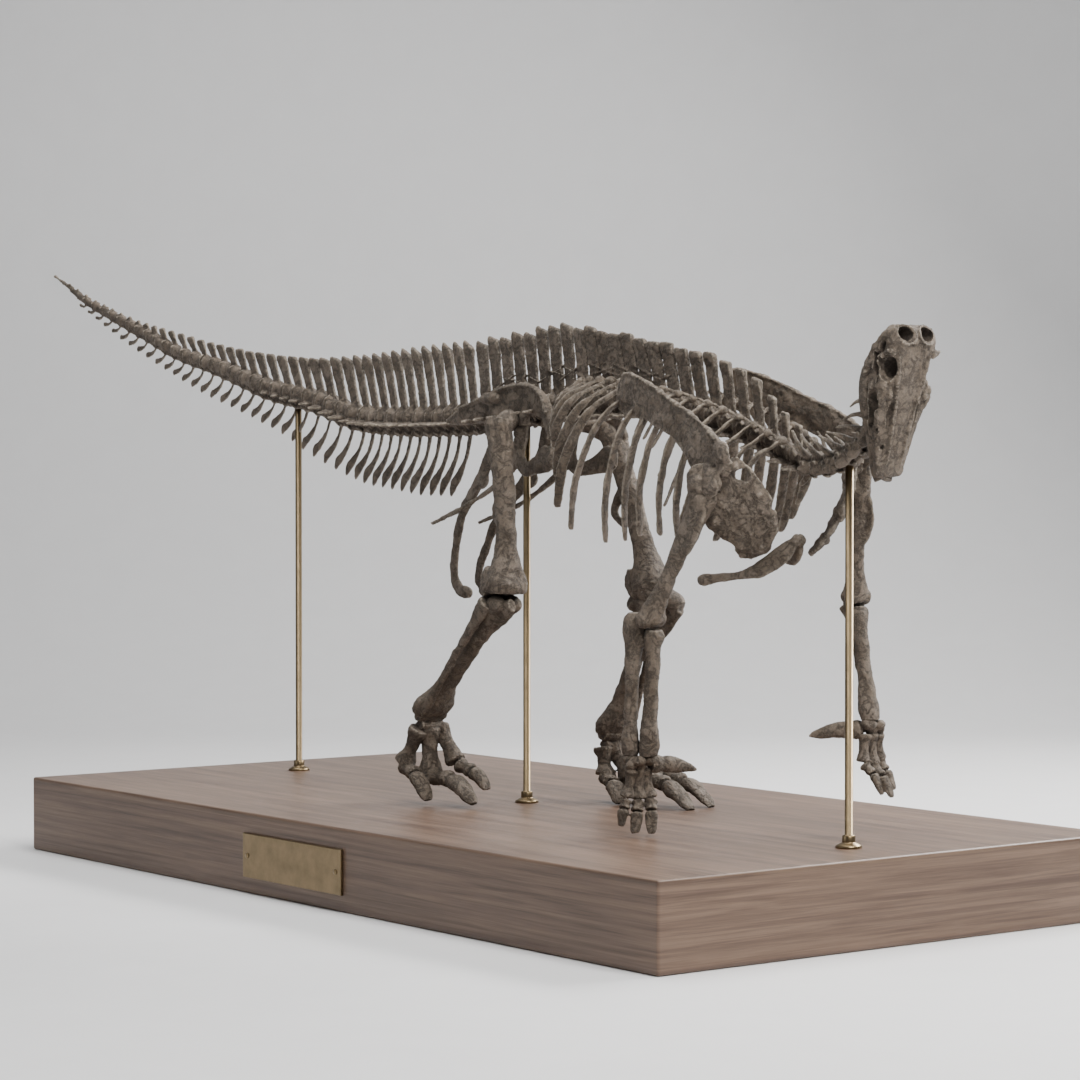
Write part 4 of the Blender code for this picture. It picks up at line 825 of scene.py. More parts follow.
def melt(name, clay, nodes, fine=0, cutters=None, seed=1, relief=1.0, lumps=1.0, relax=2):
    """Melt the clay into one skin, cut it, roughen it, and put it in the nodes' place.

    The skin's cells are fine times the fine detail, or the skin detail where fine is 0.
    """
    look = bpy.context.scene.skeleton_settings
    cell = look.fine_skin * fine if fine else look.skin
    piece = clay.build(name)
    add_skin(piece, cell)
    settle(piece)
    if cutters:
        tool = cutters.build("cutters")
        add_skin(tool, cell)
        settle(tool)
        cut = piece.modifiers.new("Openings", "BOOLEAN")
        cut.operation = "DIFFERENCE"
        cut.solver = "MANIFOLD"
        cut.object = tool
        add_skin(piece, cell)
        settle(piece)
        bpy.data.objects.remove(tool, do_unlink=True)
    soft = piece.modifiers.new("Soften", "SMOOTH")
    soft.factor = 0.5
    soft.iterations = relax
    apply_tree(piece, once("node_groups", "Fossil Relief", relief_tree), {
        "Grain": look.grain, "Relief": look.relief * relief, "Lumps": look.lumps * lumps,
        "Seed": seed, "Material": once("materials", "fossil_bone", bone_material)})
    settle(piece)
    mount(piece, nodes)


def mount(piece, nodes):
    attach(piece, "root")
    if nodes:
        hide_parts(*nodes)


def shape_object(name, clay, cell=0.05, relax=2):
    """A small melted shape for the repeating tree."""
    made = clay.build(name)
    add_skin(made, cell)
    made.modifiers.new("Soften", "SMOOTH").iterations = relax
    settle(made)
    return made


# Shapes that repeat along the backbone, one unit long


def spool_shape():
    """A centrum: a drum with raised rims and a pinched waist."""
    clay = Clay()
    outline = superellipse(20, 0.85)
    half = [(0.2, 0.39), (0.33, 0.49), (0.4, 0.52), (0.455, 0.49), (0.465, 0.37), (0.5, 0.36)]
    profile = [(-x, radius) for x, radius in reversed(half)] + [(0.0, 0.36)] + half
    clay.rings([[Vector((x, a * radius, b * radius)) for a, b in outline]
                for x, radius in profile])
    return clay.build("spool_shape")


def plate_shape(name, slant, waist, top_round):
    """A spine of unit size: a thick-rimmed plate from its foot at the origin up to z = 1."""
    clay = Clay()
    rings = []
    for z, long, thick in ((0.0, 0.78, 1.7), (0.1, 0.74, 1.05), (0.3, waist, 0.62),
                           (0.6, waist + 0.05, 0.58), (0.8, 0.97, 0.74), (0.9, 1.0, 1.0),
                           (0.95, 1.0 - top_round * 0.4, 1.05),
                           (0.985, 0.94 - top_round, 0.9), (1.0, 0.78 - top_round, 0.5)):
        ring = []
        for a, b in superellipse(20, 0.45):
            edge = 1.0 + 0.25 * abs(a) ** 6
            lift = z * (1 + slant * a * z)
            ring.append(Vector((a * long / 2, b * thick / 2 * edge, lift)))
        rings.append(ring)
    clay.rings(rings)
    return clay.build(name)


def arch_shape():
    """The knuckles round a spine's foot: two prongs ahead, two behind, in a unit box."""
    clay = Clay()
    clay.tube([(-0.34, 0, 0.0, 0.34, 0.34), (0.0, 0, 0.03, 0.42, 0.4), (0.34, 0, 0.0, 0.34, 0.34)])
    for hand in (-1, 1):
        clay.tube([(0.1, hand * 0.16, 0.02, 0.2, 0.22), (0.42, hand * 0.22, 0.1, 0.15, 0.2),
                   (0.62, hand * 0.21, 0.2, 0.1, 0.16)])
        clay.tube([(-0.1, hand * 0.12, 0.06, 0.18, 0.22), (-0.4, hand * 0.15, 0.2, 0.14, 0.2),
                   (-0.56, hand * 0.14, 0.2, 0.1, 0.13)])
    return shape_object("arch_shape", clay, 0.05, 1)


def wing_shape():
    """A pair of side processes in a unit width, flattened and swept back."""
    clay = Clay()
    for hand in (-1, 1):
        clay.tube([(0.0, 0, 0, 1.0, 0.55), (-0.06, hand * 0.25, 0.0, 0.8, 0.42),
                   (-0.3, hand * 0.42, 0.06, 0.72, 0.34), (-0.42, hand * 0.5, 0.1, 0.55, 0.28)],
                  Vector((1, 0, 0)), 3, 12, 0.8)
    return clay.build("wing_shape")


def chevron_shape():
    """A haemal bone: forked head at the origin, bent back shaft, widened foot at z = -1."""
    clay = Clay()
    for hand in (-1, 1):
        clay.tube([(0.02, hand * 0.22, 0.02, 0.24, 0.12), (0.06, hand * 0.17, -0.1, 0.2, 0.1),
                   (0.12, hand * 0.04, -0.25, 0.18, 0.1)], SIDE_Y, 3, 10)
    clay.tube([(0.12, 0, -0.2, 0.13, 0.24), (0.2, 0, -0.36, 0.1, 0.18),
               (0.18, 0, -0.56, 0.085, 0.16), (0.02, 0, -0.76, 0.11, 0.2),
               (-0.18, 0, -0.9, 0.125, 0.22), (-0.3, 0, -0.97, 0.14, 0.24),
               (-0.35, 0, -1.0, 0.1, 0.18)], SIDE_Y, 3, 12)
    return clay.build("chevron_shape")


# What a spine's measures are taken from: its number, place, spacing and centrum height
Vertebra = namedtuple("Vertebra", "index place pitch height")


class Shapes:
    """The repeating shapes, made once and removed after the last length."""

    def __init__(self):
        self.spool = spool_shape()
        self.blade = plate_shape("blade_shape", 0.1, 0.56, 0.24)
        self.plate = plate_shape("plate_shape", -0.035, 0.92, 0.0)
        self.paddle = plate_shape("paddle_shape", -0.055, 0.76, 0.12)
        self.arch = arch_shape()
        self.wing = wing_shape()
        self.chevron = chevron_shape()

    def clear(self):
        for shape in vars(self).values():
            bpy.data.objects.remove(shape, do_unlink=True)


def tip_of(foot, lean, tips):
    """Where a spine that leans back by an angle meets the line of the spines' tips."""
    tip_x = foot.x
    for _ in range(4):
        tip_z = at_x(tips, tip_x)[0]
        tip_x = foot.x - abs(tip_z - foot.z) * tan(lean)
    return Vector((tip_x, 0, tip_z))


def build_vertebrae(clay, shapes, spine_shape, length, spine_values):
    """Centra, spines and arches of one length; gives their places and the pitch.

    For each vertebra, spine_values gives the spine's lean, length, thickness and reach, or None.
    """
    places, pitch = column.places(length)
    spools, spines, arches = [], [], []
    for index, place in enumerate(places):
        centre, along, up, height, width = column.read(place)
        turn = frame_of(along, up)
        spools.append((centre, turn, (pitch, width, height)))
        values = spine_values(Vertebra(index, place, pitch, height))
        if values:
            lean, long, thick, reach = values
            foot = centre + up * (height * 0.38)
            rise = foot.lerp(tip_of(foot, lean, SPINE_TIPS), reach) - foot
            spines.append((foot, frame_on(rise), (long, thick, rise.length)))
            arches.append((foot + up * height * 0.1, turn, (pitch, width * 1.15, height * 0.85)))
    for shape, spots in ((shapes.spool, spools), (spine_shape, spines), (shapes.arch, arches)):
        repeated(shape, spots, clay)
    return places, pitch


def side_spots(places, reaches, long, high, raised=0.2):
    """Spots for pairs of side processes that reach out by one value for each place."""
    spots = []
    for place, reach in zip(places, reaches):
        centre, along, up, height, _ = column.read(place)
        if reach > 0:
            spots.append((centre + up * height * raised, frame_of(along, up),
                          (long, reach * 2, high)))
    return spots


def chevron_spots(places, pitch):
    """Spots for the chevrons, which hang between each vertebra and the next."""
    spots = []
    for place in places:
        share = tail_share(place)
        up = column.read(place)[2]
        centre, _, _, height, _ = column.read(place + pitch * 0.42)
        head = centre - up * height * 0.42
        drop = head - tip_of(head, radians(42 - 27 * share), CHEVRON_TIPS)
        spots.append((head, frame_on(drop),
                      (0.13 + 0.07 * share, 0.12 + 0.08 * share, drop.length)))
    return spots


TAIL_START = column.distance(TAIL_END[0])
TAIL_SPAN = column.distance(TAIL_BASE[1]) - TAIL_START


def tail_share(place):
    """How far along the tail a place lies, from 0 at its tip to 1 at the sacrum."""
    return (place - TAIL_START) / TAIL_SPAN


# Backbone


def build_tail(shapes):
    """The three lengths of the tail."""
    def spine_values(at):
        share = tail_share(at.place)
        if share < 0.04:
            return None
        long = min(at.pitch * 0.88, at.height * (0.7 + 0.12 * share))
        return radians(48 - 38 * share), long, at.height * 0.15 + 0.009, 1.0

    for name, length, seed in (("tail_end", TAIL_END, 3), ("tail_middle", TAIL_MIDDLE, 5),
                               ("tail_base", TAIL_BASE, 9)):
        clay = Clay()
        places, pitch = build_vertebrae(clay, shapes, shapes.paddle, length, spine_values)
        hung = [place for place in places if 0.07 < tail_share(place) < 0.975]
        repeated(shapes.chevron, chevron_spots(hung, pitch), clay)
        if name != "tail_end":
            shares = [tail_share(place) for place in places]
            reaches = [0 if share < 0.56 else min(0.05 + 0.32 * (share - 0.56), 0.15)
                       for share in shares]
            repeated(shapes.wing, side_spots(places, reaches, 0.075, 0.06), clay)
        melt(name + "_bones", clay, [name], seed=seed, relief=1.2, lumps=0.6, relax=1)


def build_sacrum(shapes):
    """The fused vertebrae over the hips, with their side processes."""
    clay = Clay()
    places, _ = build_vertebrae(clay, shapes, shapes.plate, SACRUM, lambda at: (
        radians(7), at.pitch * 0.87, 0.034, 0.985 + 0.03 * (at.index % 2)))
    reaches = [0.19 if 1 <= index <= 6 else 0.13 for index in range(len(places))]
    repeated(shapes.wing, side_spots(places, reaches, 0.085, 0.09), clay)
    melt("sacrum_bones", clay, ["sacrum"], fine=1.15, seed=11, relief=1.5, lumps=0.7, relax=1)


def tendon_lines():
    """Thin ossified tendons that lie across the sides of the spines in two slanted sets."""
    lines = []
    for hand in (-1, 1):
        for index in range(15):
            rising = index % 2 == 0
            start_x = -0.4 + index * 0.105 + 0.03 * sin(index * 2.4)
            reach = 0.26 + 0.08 * sin(index * 1.7)
            low_share = 0.16 + 0.1 * sin(index * 3.1)
            rows = []
            for step in range(5):
                share = step / 4
                x = start_x + reach * share
                foot, _, _, height, _ = column.read(column.distance(x))
                top = at_x(SPINE_TIPS, x)[0]
                climb = share if rising else 1 - share
                up = low_share + 0.22 * climb
                z = foot.z + height * 0.5 + (top - foot.z - height * 0.5) * min(up, 0.93)
                rows.append((x, hand * (0.0058 + 0.0012 * sin(step * 2.0 + index)), z, 0.018))
            lines.append((rows, (0, hand, 0)))
    return lines


def build_back(shapes):
    """Vertebrae of the back and shoulder; they stand for both halves with the ribs."""
    clay = Clay()

    def back_values(at):
        lean = radians(7 + 8 * sin(pi * at.index / (BACK[2] - 1)))
        narrow = 0.86 - 0.27 * max(0.0, (at.index - 8) / 5)
        return lean, at.pitch * narrow, 0.032, 0.975 + 0.035 * (at.index % 3 == 1)

    def shoulder_values(at):
        return radians(4), 0.058 - 0.006 * at.index, 0.026, 1.0

    places = []
    for length, values in ((BACK, back_values), (SHOULDER, shoulder_values)):
        places += build_vertebrae(clay, shapes, shapes.plate, length, values)[0]
    reaches = [0.135 - 0.003 * index for index in range(len(places))]
    repeated(shapes.wing, side_spots(places, reaches, 0.062, 0.05, 0.62), clay)
    blades(tendon_lines(), 0.4, clay)
    melt("back_bones", clay, [], fine=1.35, seed=13, relief=1.5, lumps=0.7, relax=1)


def build_ribs(hand, tag):
    """The ribs of one side: a head, a bent neck and a flat blade with a blunt end."""
    clay = Clay()
    roots = column.places(BACK)[0] + column.places(SHOULDER)[0]
    lines = []
    for index, (place, (low_x, low_z, widest)) in enumerate(zip(roots[1:], RIBS)):
        centre, _, _, height, width = column.read(place)
        root_z = centre.z + height * 0.62
        drop = root_z - low_z
        back = centre.x - low_x
        wide = 0.054 + 0.012 * sin(pi * index / (len(RIBS) - 1))
        rows = [(centre.x + 0.004, hand * width * 0.35, root_z - 0.06, wide * 0.8)]
        rows += [(centre.x - behind * back, hand * (out * widest + more), root_z + rise - fall * drop,
                  wide * share)
                 for behind, out, more, rise, fall, share in RIB_SHARES]
        rows += [(low_x + 0.03 * back, hand * 0.925 * widest, low_z + 0.05 * drop, wide * 0.8),
                 (low_x, hand * 0.9 * widest, low_z, wide * 0.56)]
        lines.append((rows, (-0.75 if index < 6 else 0.25, hand * 0.75, 0.0)))
        clay.lump((centre.x - 0.13 * back, hand * (0.36 * widest + 0.03), root_z + 0.02),
                  (0.05, 0.06, 0.05))
    blades(lines, 0.38, clay)
    melt("ribs_" + tag, clay, ["ribcage_" + tag], seed=17 + hand, relief=0.8, lumps=0.8, relax=1)


def build_neck(shapes):
    """Cervicals: overlapping arches with curved prongs, and short hanging ribs."""
    clay = Clay()
    places, pitch = column.places(NECK)
    spools, spines = [], []
    for index, place in enumerate(places):
        centre, along, up, height, width = column.read(place)
        turn = frame_of(along, up)
        spools.append((centre, turn, (pitch, width, height)))
        spines.append((centre + up * height * 0.3, turn, (0.05, 0.03, height * 0.62)))
        for hand in (-1, 1):
            side = SIDE_Y * hand
            foot = centre + up * height * 0.34 + side * width * 0.18
            rows = []
            for shift, out, high, wide, deep in (
                    (0.05, 0.5, 0.24, 0.046, 0.05), (0.015, 0.42, 0.42, 0.064, 0.066),
                    (-0.026, 0.48, 0.56, 0.066, 0.06), (-0.052, 0.56, 0.56, 0.054, 0.044)):
                spot = centre + along * shift + side * width * out + up * height * high
                rows.append((*spot, wide, deep))
            clay.tube(rows, side, 4, 12)
            clay.tube([(*(foot + up * 0.01), 0.05, 0.05),
                       (*(centre + side * width * 0.5 + up * height * 0.3), 0.045, 0.05)],
                      along, 2, 12)
            if index < len(places) - 2:
                reach = 0.085 - 0.005 * index
                root = centre + side * width * 0.42 - up * height * 0.1
                rows = [(*root, 0.04, 0.048),
                        (*(root + side * 0.034 - up * 0.034 - along * 0.01), 0.028, 0.036),
                        (*(root + side * 0.05 - up * (0.04 + reach * 0.5) - along * 0.04), 0.018,
                         0.026),
                        (*(root + side * 0.046 - up * (0.05 + reach) - along * 0.085), 0.012, 0.014)]
                clay.tube(rows, along, 4, 10)
                wing = centre + side * width * 0.4 + up * height * 0.14
                clay.tube([(*wing, 0.046, 0.04),
                           (*(wing + side * 0.04 + up * 0.006 - along * 0.012), 0.04, 0.032)],
                          along, 2, 10)
    repeated(shapes.spool, spools, clay)
    repeated(shapes.blade, spines, clay)
    melt("neck_bones", clay, ["neck"], fine=1, seed=19, relief=0.7, lumps=0.6, relax=1)


# Skull


def skull_point(along, across, height):
    """A point given along the skull from the snout, across it, and towards the roof."""
    forward = Vector((sin(SKULL_LEAN), 0, cos(SKULL_LEAN)))
    roof = Vector((cos(SKULL_LEAN), 0, -sin(SKULL_LEAN)))
    return SNOUT_TIP + forward * along + roof * height + SIDE_Y * across


def skull_rows(rows, hand=1):
    return [(*skull_point(row[0], hand * row[1], row[2]), row[3], row[4]) for row in rows]


def skull_lump(clay, along, across, height, size, turn=0.0):
    """An egg given by its size along the skull, across it and towards the roof."""
    clay.lump(skull_point(along, across, height), (size[2], size[1], size[0]),
              (0, SKULL_LEAN + turn, 0))


def skull_ring(row):
    """An outline across the skull: a flat roof, a shoulder, a cheek and a narrower palate."""
    along, top, roof, shoulder, cheek, bottom, palate = row
    half = smooth_rows([(0, top), (roof, top - 0.008), (cheek, shoulder),
                        (0.95 * cheek, 0.45 * shoulder + 0.55 * bottom), (palate, bottom),
                        (0, bottom + 0.006)], 4)
    outline = half + [(-across, height) for across, height in reversed(half[1:-1])]
    return [skull_point(along, across, height) for across, height in outline]


def build_skull():
    clay = Clay()
    clay.rings([skull_ring(row) for row in smooth_rows(SKULL_SECTIONS, 4)])
    clay.tube(skull_rows([
        (0.54, 0, -0.03, 0.15, 0.11), (0.64, 0, -0.02, 0.16, 0.12),
        (0.7, 0, 0.02, 0.16, 0.11)]), SIDE_Y, 4, 18)
    for hand in (-1, 1):
        ring = []
        for step in range(11):
            turn = 2 * pi * step / 10
            ring.append((0.744 + 0.046 * cos(turn), 0.071 + 0.058 * sin(turn),
                         0.088 - 0.028 * cos(turn) - 0.016 * sin(turn), 0.016, 0.016))
        clay.tube(skull_rows(ring, hand), Vector((1, 0, 0)), 3, 10)
        horn = 0.194 if hand > 0 else 0.172
        clay.tube(skull_rows([
            (0.65, 0.13, 0.08, 0.056, 0.04), (0.654, 0.5 * (0.13 + horn), 0.078, 0.034, 0.034),
            (0.664, horn, 0.07, 0.012, 0.014)], hand), Vector((0, 0, 1)), 4, 14)
        for steps, sides, rows in SKULL_BARS:
            clay.tube(skull_rows(rows, hand), SIDE_Y, steps, sides)
        for along, across, height, size in SKULL_LUMPS:
            skull_lump(clay, along, hand * across, height, (size * 1.3, size, size))
    cutters = Clay()
    for hand in (-1, 1):
        for along, across, height, size, turn in SKULL_CUTS:
            skull_lump(cutters, along, hand * across, height, size, radians(turn))
    skull_lump(cutters, 0.012, 0, -0.01, (0.03, 0.034, 0.05))
    melt("skull_bones", clay, ["skull"], fine=1, cutters=cutters, seed=23, relief=1.3,
         lumps=0.8, relax=1)
    jaw = Clay()
    for hand in (-1, 1):
        jaw.tube(skull_rows([
            (-0.004, 0.022, -0.042, 0.066, 0.044), (0.04, 0.036, -0.06, 0.056, 0.05),
            (0.11, 0.044, -0.076, 0.054, 0.054), (0.24, 0.072, -0.09, 0.054, 0.06),
            (0.34, 0.108, -0.102, 0.05, 0.064), (0.43, 0.13, -0.104, 0.044, 0.068),
            (0.5, 0.136, -0.1, 0.044, 0.07), (0.555, 0.136, -0.096, 0.036, 0.05),
            (0.58, 0.134, -0.092, 0.02, 0.026)], hand),
            SIDE_Y, 5, 16, 0.8)
        for step in range(14):
            along = 0.155 + 0.019 * step
            across = 0.04 + 0.062 * (step / 13) ** 1.4
            jaw.tube(skull_rows([
                (along, across + 0.004, -0.066 - 0.018 * step / 13, 0.01, 0.012),
                (along + 0.001, across + 0.004, -0.052 - 0.014 * step / 13, 0.005, 0.007)], hand),
                SIDE_Y, 1, 6)
    melt("jaw_bones", jaw, ["jaw"], fine=1, seed=29, relief=0.7, lumps=0.4, relax=1)


# Girdles


def girdle_side(rows, hand):
    if hand < 0:
        return list(rows)
    shift = LEFT_GIRDLE_SHIFT
    return [(x + shift.x, -y + shift.y, z + shift.z, *rest) for x, y, z, *rest in rows]


def build_girdle(hand, tag):
    """Shoulder blade with its ridge and rims, coracoid with its opening, breast bone."""
    blade = Clay()
    rows = girdle_side(SCAPULA, hand)
    blade.flat(rows, 0.03, SIDE_Y, 6, 0.7, 24)
    for side in (-1, 1):
        edge = []
        smooth = smooth_rows(rows, 3)
        for index, (x, y, z, wide) in enumerate(smooth):
            ahead = Vector(smooth[min(index + 1, len(smooth) - 1)][:3])
            behind = Vector(smooth[max(index - 1, 0)][:3])
            along = (ahead - behind).normalized()
            across = along.cross(SIDE_Y).normalized() * side
            spot = Vector((x, y, z)) + across * (wide * 0.47)
            edge.append((*spot, 0.034, 0.022))
        blade.tube(edge[1:-1], SIDE_Y, 2, 10)
    shoulder = Vector(rows[-1][:3])
    blade.lump(shoulder + Vector((-0.035, hand * 0.018, -0.02)), (0.17, 0.085, 0.2))
    blade.lump(shoulder + Vector((0.06, hand * 0.012, 0.135)), (0.13, 0.06, 0.11))
    melt("scapula_bone_" + tag, blade, ["scapula_" + tag], seed=31, relief=1.6, lumps=1.6)
    plate = Clay()
    side = Vector((0.75, -0.66 * hand, 0))
    rows = girdle_side(CORACOID, hand)
    corners = [Vector(row[:3]) for row in rows]
    plate.tube([(*row, 0.036) for row in rows], side, 6, 24, 0.7)
    plate.lump(corners[0] + Vector((-0.07, hand * 0.055, -0.09)), (0.13, 0.085, 0.17))
    plate.lump(corners[0] + Vector((0.0, hand * 0.01, -0.02)), (0.24, 0.06, 0.09), (0, 0, -0.7 * hand))
    ridge = [(*corner.lerp(corners[index + 1], 0.5) + side.normalized() * shift, 0.04, 0.052)
             for index, (corner, shift) in enumerate(zip(corners[:4], (-0.06, -0.045, 0.02, 0.03)))]
    plate.tube(ridge, side, 5, 12)
    for row, shift, size in ((0, 0.11, 0.09), (1, 0.165, 0.075), (2, 0.15, 0.08),
                             (2, -0.15, 0.07), (3, 0.06, 0.07), (1, -0.15, 0.09)):
        plate.lump(corners[row] + side.normalized() * shift, (size, size * 0.75, size * 1.2))
    hole = Clay()
    for row, shift, drop in ((0, 0.15, 0.045), (2, 0.205, -0.075), (3, -0.13, 0.02)):
        hole.lump(corners[row] + side.normalized() * shift - Vector((0, 0, drop)),
                  (0.085, 0.15, 0.075))
    hole.lump(corners[1] + Vector((-0.02, 0, 0.01)), (0.03, 0.14, 0.04))
    melt("coracoid_bone_" + tag, plate, ["coracoid_" + tag], cutters=hole, seed=33, relief=1.6,
         lumps=2.0)
    breast = Clay()
    rows = STERNAL if hand < 0 else STERNAL_LEFT
    breast.tube([(*row, 0.034) for row in rows], Vector((1, 0, -1)), 6, 18, 0.8)
    breast.lump(rows[-1][:3], (0.075, 0.05, 0.06))
    breast.lump(rows[0][:3], (0.06, 0.06, 0.07))
    melt("sternal_bone_" + tag, breast, ["sternal_" + tag], seed=35)


def build_pelvis(hand, tag):
    """Hip bones of one side, with the rim of the socket."""
    def placed(rows):
        return rows if hand < 0 else mirrored(rows)

    ilium = Clay()
    ilium.flat(placed(ILIUM), 0.034, SIDE_Y, 6, 0.7, 24)
    crest = [(x, y + (hand * 0.01), z + deep * 0.44, 0.044, 0.03)
             for x, y, z, deep in placed(ILIUM)[1:-1]]
    ilium.tube(crest, SIDE_Y, 5, 12)
    ilium.lump((-0.1, hand * 0.205, 2.8), (0.2, 0.07, 0.075))
    for x, wide in ((-0.08, 0.11), (0.2, 0.095)):
        ilium.tube([(x, hand * 0.187, 2.77, 0.036, wide * 1.2),
                    (x, hand * 0.19, 2.69, 0.052, wide), (x, hand * 0.19, 2.64, 0.056, wide)],
                   SIDE_Y, 4, 16)
    melt("ilium_bone_" + tag, ilium, ["ilium_" + tag], seed=41, lumps=1.2)
    ischium = Clay()
    ischium.flat(placed(ISCHIUM), 0.038, SIDE_Y, 5, 0.9, 18)
    ischium.lump((-0.085, hand * 0.19, 2.605), (0.115, 0.058, 0.09))
    ischium.lump((-0.215, hand * 0.178, 2.335), (0.1, 0.04, 0.13), (0, radians(40), 0))
    ischium.lump((-0.535, hand * 0.085, 1.668), (0.17, 0.052, 0.075))
    melt("ischium_bone_" + tag, ischium, ["ischium_" + tag], seed=43)
    pubis = Clay()
    pubis.flat(placed(PREPUBIS), 0.036, SIDE_Y, 6, 0.8, 20)
    pubis.flat(placed(PUBIC_ROD), 0.03, SIDE_Y, 5, 1.0, 12)
    pubis.lump((0.165, hand * 0.19, 2.6), (0.11, 0.058, 0.1))
    pubis.lump((0.5, hand * 0.224, 2.458), (0.055, 0.046, 0.15))
    melt("pubis_bone_" + tag, pubis, ["pubis_" + tag], seed=45)


# Limbs


def build_digit(clay, start, knuckle, tip, wide):
    """A metapodial, short bones with knuckles and gaps, and a broad hoof."""
    start, knuckle, tip = Vector(start), Vector(knuckle), Vector(tip)
    reach = tip - knuckle
    side = UP.cross(reach).normalized()
    arch = UP * (reach.length * 0.14)

    def spot(share):
        return knuckle + reach * share + arch * (4 * share * (1 - share))

    def sized(profile):
        return [(place, wide * across, wide * deep) for place, across, deep in profile]

    clay.shaft(start, start.lerp(knuckle, 0.93), sized([
        (0.0, 0.86, 0.92), (0.1, 0.92, 0.98), (0.3, 0.68, 0.72), (0.62, 0.66, 0.64),
        (0.86, 0.98, 0.9), (0.96, 1.02, 0.98), (1.0, 0.8, 0.78)]), side)
    edges = [0.05, 0.36, 0.6, 1.0] if reach.length > 3.2 * wide else [0.05, 0.5, 1.0]
    for low, high in zip(edges, edges[1:-1]):
        clay.shaft(spot(low), spot(high - 0.035), sized([
            (0.0, 0.78, 0.62), (0.15, 0.92, 0.76), (0.5, 0.72, 0.54), (0.85, 0.88, 0.68),
            (1.0, 0.7, 0.52)]), side, sides=14)
    last = edges[-2]
    hoof = sized([(last + 0.02, 0.76, 0.56), (last + 0.1, 0.9, 0.62),
                  (0.5 * (last + 1.0), 0.84, 0.46), (0.93, 0.7, 0.3), (1.0, 0.46, 0.18)])
    clay.tube([(*spot(share), across, deep) for share, across, deep in hoof], side, 4, 16, 0.85)


